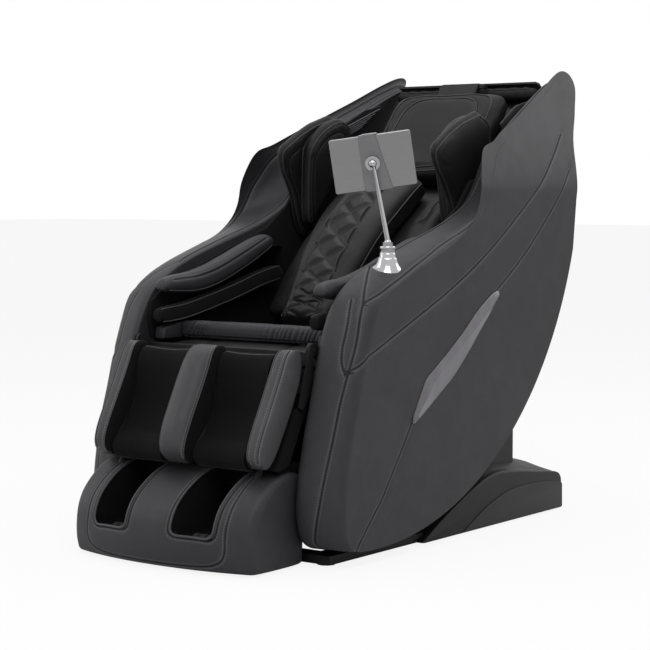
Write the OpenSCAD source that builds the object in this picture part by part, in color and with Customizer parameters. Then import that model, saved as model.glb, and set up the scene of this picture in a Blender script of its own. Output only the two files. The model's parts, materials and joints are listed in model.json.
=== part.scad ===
// Full-body massage chair: a base on the floor, an upper body that rocks on curved rails, a leg rest
// that swings up, a foot unit that slides out, a massage carriage in the back and a tablet on a pole.
// Millimetres. +Z is up, the sitter looks along -Y, and +X is the sitter's left.

/* [Overall] */
// Width over the two side panels
chair_w = 756; // [744:2:790]
// Thickness of a side panel at the arm
panel_t = 103; // [98:1:108]
// How far the head end of a side panel leans in
panel_lean = 110; // [96:1:116]
// Thickness that a side panel loses by its head end
panel_taper = 48; // [40:1:54]
// Height of the drawing's datum over the floor
datum_h = 17; // [12:1:20]
// Height of the lowest point of a side panel over the datum
panel_gap = 15; // [14:1:17]
// Depth of a crowned edge at the head of each panel's inner face
panel_edge = 9; // [6:1:12]
// Thickness of the fabric-covered liner inside each panel
liner_t = 10; // [6:1:12]
// Thickness of the blade-shaped trim on each panel
blade_t = 7; // [4:1:10]
// Air gap between still neighbours
gap = 0.3; // [0.2:0.1:0.4]
// Radial clearance of a turning or sliding fit
fit = 0.06; // [0.03:0.01:0.09]

/* [Rocker] */
// Radius of the panels' lower edge about the rocking axis
shell_r = 935; // [930:1:940]
// Distance of the rocking axis in front of the middle of the base
axis_y = 350; // [346:1:354]
// Depth of a rocker rail
rail_h = 18; // [14:1:22]
// Width of a rocker rail
rail_w = 20; // [16:1:24]
// Middle of a rocker rail from the middle of the chair
rail_x = 200; // [196:1:203]
// Thickness of the plate that carries a rail
web_t = 8; // [5:1:10]
// Radius of a support roller
roller_r = 22; // [20:1:24]
// Radius of a support roller's shaft
roller_shaft_r = 6; // [5:0.5:8]
// Thickness of a roller bearing plate
bearing_t = 6; // [4:1:8]

/* [Base] */
// Thickness of a rubber foot
foot_t = 4; // [3:0.5:5]
// Radius of a rubber foot
foot_r = 24; // [18:1:30]
// Thickness of the steel floor runners
runner_t = 20; // [16:1:21]
// Width of a floor runner
runner_w = 60; // [50:1:66]
// Half the width of the base casing
casing_x = 342; // [336:1:350]
// Wall of the base casing and the pedestal cover
casing_t = 4; // [3:0.5:5]
// Half the width of the pedestal
pedestal_x = 300; // [280:2:310]
// Radius of a transport wheel
wheel_r = 27; // [24:1:28]
// Width of a transport wheel
wheel_w = 24; // [18:1:28]
// Radius of a transport wheel's axle
wheel_axle_r = 5; // [4:0.5:6]

/* [Drives] */
// Radius of a drive's outer tube
tube_r = 22; // [20:1:24]
// Radius of a drive's rod
rod_r = 10; // [8:0.5:12]
// Radius of the pins that hold the drives
drive_pin_r = 5; // [4:0.5:6]
// Thickness of a drive's bracket plates
bracket_t = 6; // [4:1:8]
// Slack round the pin in the recline drive's far eye
recline_slack = 4.5; // [4:0.5:6]
// Slack round the pin in the leg drive's far eye
leg_slack = 8; // [7.5:0.5:9]
// Place of the leg drive to the side of the middle
leg_drive_x = 100; // [90:1:110]

/* [Seat and back] */
// Thickness of the seat board and the back board
board_t = 10; // [8:1:12]
// Half the width of the seat and back cushions
cushion_x = 250; // [240:1:256]
// Half the width of the hanging back pad
back_pad_x = 115; // [105:1:125]
// Half the width of the back pad's quilted strip
quilt_x = 50; // [44:1:56]
// Pitch of the quilting along the back pad
quilt_pitch = 62; // [50:1:80]
// Depth of the quilting
quilt_depth = 5; // [3:0.5:7]
// Half the width of the head pillow
pillow_x = 184; // [170:1:188]
// Radius of the pillow's hinge pin
pillow_pin_r = 4; // [3:0.5:5]
// Thickness of the back cover
cover_t = 5; // [4:0.5:6]

/* [Massage unit] */
// Radius of a massage roller
massage_r = 28; // [24:1:29]
// Radius of the rods that the carriage runs on
track_rod_r = 9; // [7:0.5:10]
// Middle of a track rod from the middle of the chair
track_x = 165; // [158:1:166]
// Middle of a kneading arm from the middle of the chair
knead_x = 60; // [55:1:65]
// Radius of a kneading arm's pin
knead_pin_r = 4; // [3:0.5:5]
// Radius of a massage roller's axle
massage_axle_r = 5; // [4:0.5:5.5]

/* [Leg rest] */
// Half the width of the calf pads
calf_x = 260; // [256:1:261]
// Thickness of the leg rest's side plates
leg_plate_t = 5; // [4:0.5:6]
// Radius of the leg rest's hinge pins
leg_pin_r = 5; // [4:0.5:6]
// Half the width of the middle calf ridge
ridge_x = 48; // [44:1:52]
// Where a side ridge of the calf rest begins
ridge_side_x = 198; // [192:1:202]
// Middle of a foot well
well_x = 122; // [120:1:124]
// Half the width of a foot well
foot_well_x = 56; // [50:1:57]
// Radius of the foot unit's guide rods
guide_r = 8; // [6:0.5:9]
// Wall of a guide tube
guide_t = 3; // [2:0.5:4]
// Middle of a guide rod from the middle of the chair
guide_x = 205; // [200:1:215]
// Radius of a foot roller
foot_roller_r = 16; // [13:1:17]
// Radius of a foot roller's shaft
foot_shaft_r = 5; // [4:0.5:6]

/* [Tablet stand] */
// Width of the tablet
tablet_w = 190; // [170:1:240]
// Height of the tablet
tablet_h = 127; // [110:1:160]
// Thickness of the tablet
tablet_t = 8; // [7:0.5:10]
// Radius of the stand's conical foot
stand_r = 37; // [30:1:40]
// Radius of the stand's ball
ball_r = 10; // [8:0.5:12]
// Radius of the pole at its foot
pole_r = 6; // [5:0.5:8]
// Radius of the pivot pin under the pole
spigot_r = 8; // [6:0.5:9]

/* [Hidden] */
$fn = 48;

leather = [0.235, 0.225, 0.245];
dark_leather = [0.10, 0.10, 0.11];
fabric_black = [0.03, 0.03, 0.035];
steel = [0.45, 0.46, 0.48];
silver = [0.75, 0.75, 0.77];
plastic = [0.2, 0.2, 0.21];

half_w = chair_w / 2;
inner_x = half_w - panel_t;
axis_z = shell_r + panel_gap;
rail_r = shell_r - 5;
clear_r = shell_r + 3;
pedestal_r = shell_r + 10;

// ---- helpers -------------------------------------------------------------------------------------

// Point in the (y, z) plane at an angle behind straight down from the rocking axis
function polar(a, r) = [-axis_y + r * sin(a), axis_z - r * cos(a)];
function arc(r, a0, a1, n) = [for (i = [0 : n]) polar(a0 + (a1 - a0) * i / n, r)];
function mix(a, b, t) = a + (b - a) * t;

// Smooth curve through hand-set points, as n + 1 samples
function smooth(p, n) = let (m = len(p) - 1) [for (i = [0 : n])
    let (u = i * m / n, k = min(floor(u), m - 1), t = u - k,
         a = p[max(k - 1, 0)], b = p[k], c = p[k + 1], d = p[min(k + 2, m)])
    0.5 * (2 * b + (c - a) * t + (2 * a - 5 * b + 4 * c - d) * t * t + (3 * b - a - 3 * c + d) * t * t * t)];
function side_of(c, i) = let (d = c[min(i + 1, len(c) - 1)] - c[max(i - 1, 0)]) [-d[1], d[0]] / norm(d);
function signed_pow(v, p) = sign(v) * pow(abs(v), p);

// Faces of a closed tube of rows rings of cols points, with flat ends
function tube_faces(rows, cols) = concat(
    [[for (j = [0 : cols - 1]) j]],
    [for (i = [0 : rows - 2], j = [0 : cols - 1]) let (k = (j + 1) % cols)
        each [[i * cols + j, (i + 1) * cols + j, (i + 1) * cols + k],
              [i * cols + j, (i + 1) * cols + k, i * cols + k]]],
    [[for (j = [cols - 1 : -1 : 0]) (rows - 1) * cols + j]]);

// Profile in (y, z), extruded from x0 to x1
module slab(x0, x1, points) {
    translate([x0, 0, 0]) rotate([90, 0, 90]) linear_extrude(x1 - x0) polygon(points);
}

// The same profile on both sides of the chair
module slabs(x0, x1, points) {
    slab(x0, x1, points);
    slab(-x1, -x0, points);
}

module both() {
    children();
    mirror([1, 0, 0]) children();
}

// Cylinder along X, at a point of the (y, z) plane
module bar(x0, x1, p, r) {
    translate([x0, p[0], p[1]]) rotate([0, 90, 0]) cylinder(h = x1 - x0, r = r);
}

// Cylinder between two points of the (y, z) plane, at a given x
module strut(x, p, q, r) {
    d = q - p;
    translate([x, p[0], p[1]]) rotate([-atan2(d[0], d[1]), 0, 0]) cylinder(h = norm(d), r = r);
}

// Upholstered pad that follows a line in the (y, z) plane: crowned across, drawn in at its ends.
// up and dn are its depths on each side of the line, dip(s, x) the depth of its sewn channels and
// width(s) and depth(s) the parts of its full width and depth that it has at s.
module pad(path, cx, hw, up, dn, rows = 12, cols = 18, square = 3.2, ends = 4,
    width = function (s) 1, depth = function (s) 1, dip = function (s, x) 0) {
    c = smooth(path, rows);
    rings = [for (i = [0 : rows])
        let (s = i / rows,
             e = max(0.34, pow(1 - pow(abs(2 * s - 1), ends), 1 / ends)),
             n = side_of(c, i), w = mix(hw, hw * e, 0.35) * width(s))
        for (j = [0 : cols - 1])
            let (f = 360 * (j + 0.5) / cols,
                 x = w * signed_pow(cos(f), 2 / square),
                 h = (sin(f) > 0 ? up : dn) * depth(s) * e * signed_pow(sin(f), 2 / square)
                     - (sin(f) > 0 ? dip(s, x) * e : 0))
            [cx - x, c[i][0] + n[0] * h, c[i][1] + n[1] * h]];
    polyhedron(rings, tube_faces(rows + 1, cols));
}

// Flat upholstered wing between x0 and x1: its outline rounds in by r at both faces
module wing(x0, x1, outline, r, n = 26) {
    line = smooth(concat(outline, [outline[0]]), n);
    mid = [for (k = [0, 1]) (max([for (p = line) p[k]]) + min([for (p = line) p[k]])) / 2];
    steps = [[0, r], [0.12, 0.3 * r], [0.5, 0], [0.88, 0.3 * r], [1, r]];
    rings = [for (s = steps) for (j = [0 : n - 1])
        let (d = line[j] - mid, q = mid + d * (1 - s[1] / norm(d)))
        [mix(x0, x1, s[0]), q[0], q[1]]];
    polyhedron(rings, tube_faces(len(steps), n));
}

// ---- base ----------------------------------------------------------------------------------------

floor_z = foot_t - datum_h;
runner_z = floor_z + runner_t;
runner_x = 262;
base_front = -455;
base_rear = 490;
front_angle = 16;
rear_angle = 44;
roller_path_r = rail_r + roller_r + 0.15;
front_axle = polar(front_angle, roller_path_r);
rear_axle = polar(rear_angle, roller_path_r);
roller_half = rail_w / 2 - 2;
plate_in = rail_x - rail_w / 2 - bearing_t - 6;
plate_out = rail_x + rail_w / 2 + 6;
recline_base = [-410, 85];
recline_pin = [240, 375];
wheel_at = [base_rear + wheel_r + 4, wheel_r - datum_h + 5];
wheel_x = 262;
pedestal_d = 245;
casing_end = 562;
power_x0 = 120;
power_x1 = 240;
power_z0 = 12;
power_z1 = 64;
switch_x = 215;
switch_w = 20;
inlet_x = 160;
switch_z = 38;

module roller_plates(p, low, high) {
    both() for (x = [plate_in, plate_out])
        difference() {
            translate([x, p[0] - 22, low]) cube([bearing_t, 44, high - low]);
            bar(x - 1, x + bearing_t + 1, p, roller_shaft_r + fit);
            bar(x - 1, x + bearing_t + 1, [-axis_y, axis_z], clear_r + 2, $fn = 360);
        }
}

module eye_plates(half, p, foot, low, pin) {
    both() slab(half, half + bracket_t, concat(
        [[foot - 16, low], [foot + 16, low]],
        [for (a = [-30 : 20 : 210]) p + 15 * [cos(a), sin(a)]]));
    bar(-half - bracket_t - 2, half + bracket_t + 2, p, pin);
}

module base_frame() color(steel) {
    both() translate([runner_x, base_front, floor_z]) cube([runner_w, base_rear - base_front, runner_t]);
    for (y = [base_front, front_axle[0] - 24, -24, rear_axle[0] - 24, base_rear - 48])
        translate([-runner_x, y, floor_z]) cube([2 * runner_x, 48, runner_t]);
    roller_plates(front_axle, runner_z, 50);
    roller_plates(rear_axle, runner_z, 300);
    eye_plates(tube_r + 2, recline_base, base_front + 30, runner_z, drive_pin_r);
    both() for (x = [wheel_x - wheel_w / 2 - 7, wheel_x + wheel_w / 2 + 2])
        slab(x, x + 5, [[base_rear - 40, runner_z - runner_t / 2], [base_rear, runner_z - runner_t / 2],
            [wheel_at[0] + 9, wheel_at[1]], [wheel_at[0], wheel_at[1] + 9], [base_rear - 40, wheel_at[1]]]);
    both() bar(wheel_x - wheel_w / 2 - 7, wheel_x + wheel_w / 2 + 7, wheel_at, wheel_axle_r);
}

module base_feet() color("black") {
    translate([0, 0, -datum_h]) cylinder(h = foot_t, r1 = foot_r - 3, r2 = foot_r);
    both() for (y = [base_front + foot_r + 4, 0, -base_front - foot_r - 4])
        translate([runner_x + runner_w / 2, y, -datum_h]) cylinder(h = foot_t, r1 = foot_r - 3, r2 = foot_r);
}

// Profile of the casing at its sides, and how much of the crown each of its points takes
casing_z = 4 - datum_h;
casing_line = [[-104, casing_z, 0], [-97, casing_z + 8, 0], [-16, 36, 0], [73, 73, 0.2], [160, 103, 0.6],
    [208, 114, 0.9], [245, 118, 1], [286, 116, 1], [360, 108, 1], [440, 97, 0.85], [502, 90, 0.55],
    [540, 83, 0.2], [556, 72, 0.05], [casing_end, 50, 0], [casing_end, casing_z, 0]];
casing_rings = [[-casing_x, 0, 5], [-casing_x + 3, 0, 1], [-casing_x + 10, 2, 0], [-casing_x + 34, 14, 0],
    [-casing_x + 70, 31, 0], [-casing_x + 130, 38, 0], [casing_x - 130, 38, 0], [casing_x - 70, 31, 0],
    [casing_x - 34, 14, 0], [casing_x - 10, 2, 0], [casing_x - 3, 0, 1], [casing_x, 0, 5]];
casing_mid = [230, 20];

module base_casing() color(leather) difference() {
    polyhedron([for (r = casing_rings, p = casing_line)
        let (q = [p[0], p[1] + r[1] * p[2]], d = q - casing_mid,
             e = casing_mid + [d[0] * (1 - r[2] / norm(d)), d[1] > -20 ? d[1] * (1 - r[2] / norm(d)) : d[1]])
        [-r[0], e[0], e[1]]], tube_faces(len(casing_rings), len(casing_line)));
    slab(-casing_x + casing_t, casing_x - casing_t, concat([[-82, casing_z - 1]],
        [for (p = [for (i = [2 : 13]) casing_line[i]])
            [p[0], p[1]] + (p[0] > 539 ? [-casing_t, -casing_t] : [3, -casing_t - 1])],
        [[casing_end - casing_t, casing_z - 1]]));
    translate([-runner_x - runner_w - 1, base_front, -20])
        cube([2 * (runner_x + runner_w + 1), -base_front + 20, runner_z + 20.5]);
    both() translate([plate_in - 4, front_axle[0] - 30, 0])
        cube([plate_out - plate_in + bearing_t + 8, 60, 90]);
    translate([-pedestal_x - 0.5, 129.5, 0]) cube([2 * pedestal_x + 1, pedestal_d + 1, 300]);
    translate([power_x0, casing_end - 20, power_z0]) cube([power_x1 - power_x0, 30, power_z1 - power_z0]);
}

module pedestal_cover() color("black") difference() {
    translate([-pedestal_x, 130, runner_z]) cube([2 * pedestal_x, pedestal_d, 400]);
    translate([-pedestal_x + casing_t, 120, 0])
        cube([2 * (pedestal_x - casing_t), pedestal_d + 10 - casing_t, 500]);
    bar(-pedestal_x - 1, pedestal_x + 1, [-axis_y, axis_z], pedestal_r, $fn = 360);
}

module power_box() color(plastic) {
    difference() {
        union() {
            translate([power_x0 + gap, casing_end - 75, power_z0 + gap])
                cube([power_x1 - power_x0 - 2 * gap, 75, power_z1 - power_z0 - 2 * gap]);
            translate([power_x0 - 4, casing_end + gap, power_z0 - 4])
                cube([power_x1 - power_x0 + 8, 2.5, power_z1 - power_z0 + 8]);
            translate([power_x0 + gap, casing_end - 1, power_z0 + gap])
                cube([power_x1 - power_x0 - 2 * gap, 2, power_z1 - power_z0 - 2 * gap]);
        }
        translate([inlet_x - 14, casing_end - 18, switch_z - 11]) cube([28, 30, 22]);
        translate([switch_x - switch_w / 2, casing_end - 14, switch_z - 12]) cube([switch_w, 30, 24]);
        bar(switch_x - switch_w / 2 - 3, switch_x + switch_w / 2 + 3, [casing_end - 3, switch_z], 2 + fit);
    }
    for (x = [-7, 0, 7]) translate([inlet_x + x - 1, casing_end - 18, switch_z - 1]) cube([2, 14, 4]);
}

module power_switch() color("black") {
    half = switch_w / 2 - 0.5;
    slab(switch_x - half, switch_x + half, [for (p = [[-5, -9], [1.5, -9.5], [1.5, -1], [4.5, 8.5], [-4, 9]])
        p + [casing_end, switch_z]]);
    bar(switch_x - half - 2.5, switch_x + half + 2.5, [casing_end - 3, switch_z], 2);
}

module roller_pair(p) color("dimgray") {
    bar(-plate_out - bearing_t - 2, plate_out + bearing_t + 2, p, roller_shaft_r);
    both() bar(rail_x - roller_half, rail_x + roller_half, p, roller_r);
}

module wheel(side) color("black") {
    x0 = side * wheel_x - wheel_w / 2;
    difference() {
        translate([x0, wheel_at[0], wheel_at[1]]) rotate([90, 0, 90]) rotate_extrude()
            polygon([[wheel_axle_r + fit, 0], [wheel_r - 3, 0], [wheel_r, 3], [wheel_r, wheel_w - 3],
                [wheel_r - 3, wheel_w], [wheel_axle_r + fit, wheel_w]]);
        both() for (a = [0 : 60 : 300])
            translate([0, wheel_at[0] + 14 * cos(a), wheel_at[1] + 14 * sin(a)])
                rotate([0, 90, 0]) translate([0, 0, wheel_x - wheel_w]) cylinder(h = 2 * wheel_w, r = 3);
    }
}

// ---- drives --------------------------------------------------------------------------------------

// A screw drive is a tube with an eye on the pin at p, and a rod that ends in an eye on the pin at q
module drive_tube(x, p, q, mouth) color("gray") {
    u = (q - p) / norm(q - p);
    difference() {
        union() {
            strut(x, p + 12 * u, p + mouth * u, tube_r);
            bar(x - tube_r + 1, x + tube_r - 1, p, 15);
        }
        strut(x, p + 17 * u, p + (mouth + 1) * u, rod_r + fit);
        bar(x - tube_r - 1, x + tube_r + 1, p, drive_pin_r + fit);
    }
}

module drive_rod(x, p, q, start, slack) color(silver) {
    u = (q - p) / norm(q - p);
    eye = drive_pin_r + slack;
    difference() {
        union() {
            strut(x, p + start * u, q - (eye + 1) * u, rod_r);
            bar(x - rod_r + 1, x + rod_r - 1, q, eye + 5);
        }
        bar(x - rod_r - 1, x + rod_r + 1, q, eye);
    }
}

module recline_tube() drive_tube(0, recline_base, recline_pin, 345);

module recline_rod() drive_rod(0, recline_base, recline_pin, 322, recline_slack);

module leg_drive_tube() drive_tube(leg_drive_x, leg_drive_base, leg_drive_pin, 300);

module leg_drive_rod() drive_rod(leg_drive_x, leg_drive_base, leg_drive_pin, 200, leg_slack);

// ---- upper body ----------------------------------------------------------------------------------

leg_axis = [-440, 470];
leg_drive_base = [-60, 300];
leg_drive_pin = [-449, 398];
bracket_x = calf_x - 5.5;
seat_z = 385;
tube_h = 30;
track_start = [129, 517];
track_angle = 43.25;
track_len = 450;
track_z = -45;
board_z = -75;
side_board_x = 185;
side_board_top = 31;
web_front = -300;

// Frame of the back: Y runs up the back, Z points at the sitter
module on_back() {
    translate([0, track_start[0], track_start[1]]) rotate([track_angle, 0, 0]) children();
}

function back_point(y, z) = track_start
    + y * [cos(track_angle), sin(track_angle)] + z * [-sin(track_angle), cos(track_angle)];

module body_frame() color(steel) {
    slabs(rail_x - 10, rail_x + 15, [[-415, 460], [-415, 400], [-400, seat_z], [60, seat_z],
        [60, seat_z + tube_h], [-385, seat_z + tube_h], [-385, 460]]);
    slab(-bracket_x, bracket_x, [[-415, 430], [-385, 430], [-385, 460], [-415, 460]]);
    for (y = [-75, 30]) translate([-inner_x + gap, y, seat_z]) cube([2 * (inner_x - gap), 30, tube_h]);
    both() slab(bracket_x, bracket_x + bracket_t, concat([[-385, 430], [-385, 460]],
        [for (a = [60 : 20 : 260]) leg_axis + 14 * [cos(a), sin(a)]]));
    both() bar(bracket_x, bracket_x + bracket_t + leg_plate_t + 2, leg_axis, leg_pin_r);
    on_back() {
        translate([-rail_x + web_t / 2, -14, board_z - board_t - 30])
            cube([2 * rail_x - web_t, 30, 30 - gap]);
        translate([-rail_x + web_t / 2, 300, board_z - board_t - 30])
            cube([2 * rail_x - web_t, 30, 30 - gap]);
    }
    pin = recline_pin;
    both() slab(tube_r + 2, tube_r + 2 + bracket_t, concat(
        [back_point(14, board_z - board_t - 28), back_point(-12, board_z - board_t - 28)],
        [for (a = [120 : 20 : 380]) pin + 15 * [cos(a), sin(a)]]));
    bar(-tube_r - bracket_t - 4, tube_r + bracket_t + 4, pin, drive_pin_r);
    translate([leg_drive_x, 0, 0]) {
        both() slab(tube_r + 2, tube_r + 2 + bracket_t, concat(
            [[-45, seat_z + tube_h], [-75, seat_z + tube_h]],
            [for (a = [180 : 20 : 360]) leg_drive_base + 15 * [cos(a), sin(a)]]));
        bar(-tube_r - bracket_t - 4, tube_r + bracket_t + 4, leg_drive_base, drive_pin_r);
    }
}

web_line = concat([[web_front, seat_z - gap], [104, seat_z - gap], back_point(0, board_z - board_t - 3),
    back_point(380, board_z - board_t - 3)], arc(rail_r - rail_h + 1, 69, 12, 16));

module rocker_webs() color(steel) {
    both() difference() {
        union() {
            slab(rail_x - web_t / 2, rail_x + web_t / 2, web_line);
            slab(rail_x - rail_w / 2, rail_x + rail_w / 2,
                concat(arc(rail_r, 69, 12, 24), arc(rail_r - rail_h, 12, 69, 24)));
        }
        for (a = [24 : 12 : 60]) bar(rail_x - rail_w, rail_x + rail_w, polar(a, 800), 42);
    }
}

module boards() color("burlywood") {
    difference() {
        translate([-cushion_x, -384, seat_z + tube_h + gap]) cube([2 * cushion_x, 444, board_t]);
        for (x = [-150, 150]) translate([x, -160, seat_z]) cylinder(h = 100, r = 20);
    }
    on_back() {
        difference() {
            translate([-cushion_x, -20, board_z - board_t]) cube([2 * cushion_x, track_len, board_t]);
            for (x = [-60, 60]) translate([x, 300, board_z - board_t - 1]) cylinder(h = board_t + 2, r = 22);
        }
        both() translate([side_board_x, -10, board_z - 1]) cube([12, 364, side_board_top - board_z + 1]);
    }
}

cover_outer = concat(arc(shell_r - 20, 46, 84, 14), [[579, 945], [616, 1000], [640, 1060], [642, 1098],
    [630, 1116], [612, 1120]]);
cover_inner = concat([[612, 1115], [627, 1111], [637, 1096], [635, 1061], [611, 1002], [574, 945]],
    arc(shell_r - 20 - cover_t, 84, 46, 14));

module back_cover() color(leather) {
    difference() {
        slab(-inner_x + gap, inner_x - gap, concat(cover_outer, cover_inner));
        both() translate([rail_x - rail_w / 2 - 2, 200, 200]) cube([rail_w + 4, 330, 456]);
        both() translate([panel_inside(925) - 1.2, 500, 925]) rotate([0, -14.8, 0]) cube([100, 200, 300]);
    }
    slabs(pillow_flap_x + 2, pillow_flap_x + 8,
        [for (p = [[-7, -6], [-7, 6], [28, 7], [28, -6]]) pillow_axis + p]);
    bar(-pillow_flap_x - 8, pillow_flap_x + 8, pillow_axis, pillow_pin_r);
}

// Side panel: pairs of points along its inner and its outer edge, from the front of the floor over
// the arm and the shoulder to the back of the head, then down the arc of the rocker
edge_pairs = [[[-440, 21], [-415, 17]], [[-482, 28], [-446, 27]], [[-512, 55], [-462, 60]],
    [[-523, 110], [-466, 120]], [[-516, 185], [-458, 190]], [[-497, 273], [-441, 272]],
    [[-471, 360], [-414, 355]], [[-452, 430], [-390, 434]], [[-425, 510], [-361, 507]],
    [[-385, 577], [-338, 562]], [[-325, 622], [-290, 598]], [[-240, 660], [-226, 628]],
    [[-102, 703], [-118, 668]], [[0, 732], [-22, 706]], [[85, 760], [44, 748]],
    [[165, 798], [79, 793]], [[215, 848], [98, 866]], [[252, 905], [132, 929]],
    [[302, 950], [198, 953]], [[404, 1006], [325, 1007]], [[500, 1052], [482, 1072]],
    [[596, 1096], [602, 1126]], [[668, 1120], [672, 1149]], [[697, 1115], [712, 1142]],
    [[690, 1092], [714, 1106]], [[648, 1032], [658, 1036]], [[582, 936], [592, 945]],
    [[548, 800], [560, 806]]];
edge_in = concat(smooth([for (e = edge_pairs) e[0]], 54), arc(shell_r - 10, 73, -3, 18));
edge_out = concat(smooth([for (e = edge_pairs) e[1]], 54), arc(shell_r, 73, -3, 18));
panel_mid = [50, 500];
function panel_face(z) = half_w - panel_lean * pow(max(0, z - 830) / 310, 1.4);
function panel_inside(z) = min(inner_x,
    panel_face(z) - panel_t + panel_taper * min(1, max(0, z - 760) / 330));

// Rings of a panel: part of the way out in x, part of the way from inner to outer edge, inset, scale
panel_rings = [[0, 0, 0, 0.35], [0, 0, 0, 0.66], [0, 0, 0, 0.84], [0, 0, panel_edge, 1],
    [0.06, 0, 2.5, 1], [0.14, 0.01, 0, 1],
    [0.5, 0.134, 0, 1], [0.766, 0.357, 0, 1], [0.94, 0.658, 0, 1], [1, 1, 0, 1],
    [1, 1, 0, 0.9], [1, 1, 0, 0.79], [1, 1, 0, 0.67], [1, 1, 0, 0.54], [1, 1, 0, 0.28]];

module panel_solid() {
    n = len(edge_in);
    m = len(panel_rings);
    rings = [for (r = panel_rings) for (j = [0 : n - 1])
        let (p = mix(edge_in[j], edge_out[j], r[1]), d = p - panel_mid,
             q = panel_mid + d * (r[3] - r[2] / norm(d)))
        [mix(panel_inside(q[1]), panel_face(q[1]), r[0]), q[0], q[1]]];
    faces = concat(
        [for (j = [0 : n - 1]) [n * m, (j + 1) % n, j]],
        [for (i = [0 : m - 2], j = [0 : n - 1]) let (k = (j + 1) % n)
            each [[i * n + j, (i + 1) * n + k, (i + 1) * n + j], [i * n + j, i * n + k, (i + 1) * n + k]]],
        [for (j = [0 : n - 1]) [n * m + 1, (m - 1) * n + j, (m - 1) * n + (j + 1) % n]]);
    polyhedron(concat(rings, [[inner_x, panel_mid[0], panel_mid[1]],
        [panel_face(panel_mid[1]), panel_mid[0], panel_mid[1]]]), faces);
}

module panel_body() difference() {
    panel_solid();
    slab(inner_x - 5, pocket_x, pocket_line);
}

module side_panel_left() color(leather) difference() {
    panel_body();
    translate([stand_at[0], stand_at[1], stand_z - 30]) cylinder(h = 80, r = stand_r + gap);
}

module side_panel_right() color(leather) mirror([1, 0, 0]) panel_body();

blade_line = [[-207, 290], [-204, 304], [-190, 327], [-170, 359], [-149, 388], [-110, 412], [-54, 446],
    [12, 490], [70, 534], [125, 566], [158, 580], [172, 577], [168, 564], [153, 550], [125, 522],
    [80, 483], [35, 442], [-32, 387], [-97, 347], [-161, 308], [-198, 288]];

module blade() color([0.45, 0.45, 0.48]) slab(half_w, half_w + blade_t, blade_line);

module inner_liners() color(fabric_black) both() difference() {
    slab(inner_x - liner_t - gap, inner_x - gap, [[-380, 416], [-398, 520], [-390, 560], [-330, 600],
        [-100, 680], [60, 730], [150, 790], [206, 852], [240, 857], [555, 857], [480, 680],
        [300, 480], [120, 416]]);
    slab(inner_x - liner_t - 1, inner_x, pocket_line);
}

// ---- cushions ------------------------------------------------------------------------------------

liner_x = inner_x - liner_t - 2 * gap;
seat_top = seat_z + tube_h + board_t + 2 * gap;
back_x = 201;
roll_at = [-300, 488];
pillow_axis = [590, 1112];
pillow_flap_x = 60;

module seat_cushion() color(dark_leather)
    pad([[-384, seat_top + 17], [-200, seat_top + 17], [8, seat_top + 17]], 0, cushion_x, 20, 17,
        rows = 12, cols = 22, square = 5, ends = 6);

module seat_roll() color(dark_leather) {
    pad([roll_at + [-22, 0], roll_at, roll_at + [22, 0]], 0, 238, 23, 23, rows = 10, cols = 26, square = 7,
        ends = 2.2);
    slabs(232, liner_x - gap, [[-384, 466], [-380, 496], [-300, 511], [-276, 506], [-276, 466]]);
}

// The pad hangs from under the pillow, over the back and down to the seat
pad_line = [[-124, 488], [-80, 518], [-36, 572], [24, 648], [98, 724], [190, 790], [262, 832]];
pad_up = 62;
pad_down = 22;

// Front of the back cushion, under the pad and then under the pillow, and its back, which rests on the
// side boards over the massage rollers
back_front = concat([for (i = [1 : 5]) pad_line[i] - side_of(pad_line, i) * (pad_down + 1)],
    [[268, 806], [326, 816], [374, 828], [424, 868], [484, 936], [543, 1002], [598, 1066]]);
function back_rear(p) = let (d = p - track_start, along = d * [cos(track_angle), sin(track_angle)],
    off = d * [-sin(track_angle), cos(track_angle)])
    back_point(max(along, -95), min(side_board_top + gap, off - 38));
back_depths = [for (i = [0 : len(back_front) - 1])
    [i / (len(back_front) - 1), norm(back_front[i] - back_rear(back_front[i])) / 2]];

// Roll across the top of the back, between the pillow's hinge and the back cover
back_roll = [[603, 1083], [615, 1088], [627, 1093]];
back_roll_x = 226;

module back_cushion() color(dark_leather) {
    pad([for (p = back_front) (p + back_rear(p)) / 2], 0, back_x, 1, 1, rows = 16, cols = 22, square = 7,
        ends = 8, depth = function (s) lookup(s, back_depths));
    pad(back_roll, 0, back_roll_x, 18, 18, rows = 8, cols = 22, square = 5, ends = 2);
}

quilt = function (s, x) let (l = 460 * s / quilt_pitch, w = x / (2 * quilt_x))
    abs(x) < quilt_x ? quilt_depth * pow(max(abs(cos(180 * (l + w))), abs(cos(180 * (l - w)))), 6)
    : (abs(x) < quilt_x + 8 ? quilt_depth : 0);

module back_pad() color([0.16, 0.155, 0.17])
    pad(pad_line, 0, back_pad_x, pad_up, pad_down, rows = 28, cols = 26, square = 3.4, ends = 5,
        width = function (s) min(1, 0.64 + 0.5 * s), dip = quilt);

module head_pillow() color([0.13, 0.13, 0.14]) difference() {
    union() {
        pad([[352, 846], [402, 892], [460, 958], [518, 1024], [562, 1078]], 0, pillow_x, 44, 26,
            rows = 13, cols = 22, square = 4, ends = 4,
            dip = function (s, x) abs(x) > pillow_x - 46 && abs(x) < pillow_x - 34 ? 4 : 0);
        slab(-pillow_flap_x, pillow_flap_x,
            [for (p = [[-66, -60], [-56, -72], [5, -8], [8, 0], [5, 7], [-6, 8]]) pillow_axis + p]);
    }
    bar(-pillow_flap_x - 1, pillow_flap_x + 1, pillow_axis, pillow_pin_r + fit);
}

// ---- arm units, shoulder wings and speakers --------------------------------------------------------

arm_leaf_up = 44;

module arm_leaf(side) color([0.17, 0.165, 0.18])
    pad([[-388, 592], [-281, 593], [-204, 606], [-122, 633], [-40, 665], [38, 697]], side * (liner_x - 24.8),
        24.7, arm_leaf_up, 22, rows = 12, cols = 16, square = 3, ends = 3.4);

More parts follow.
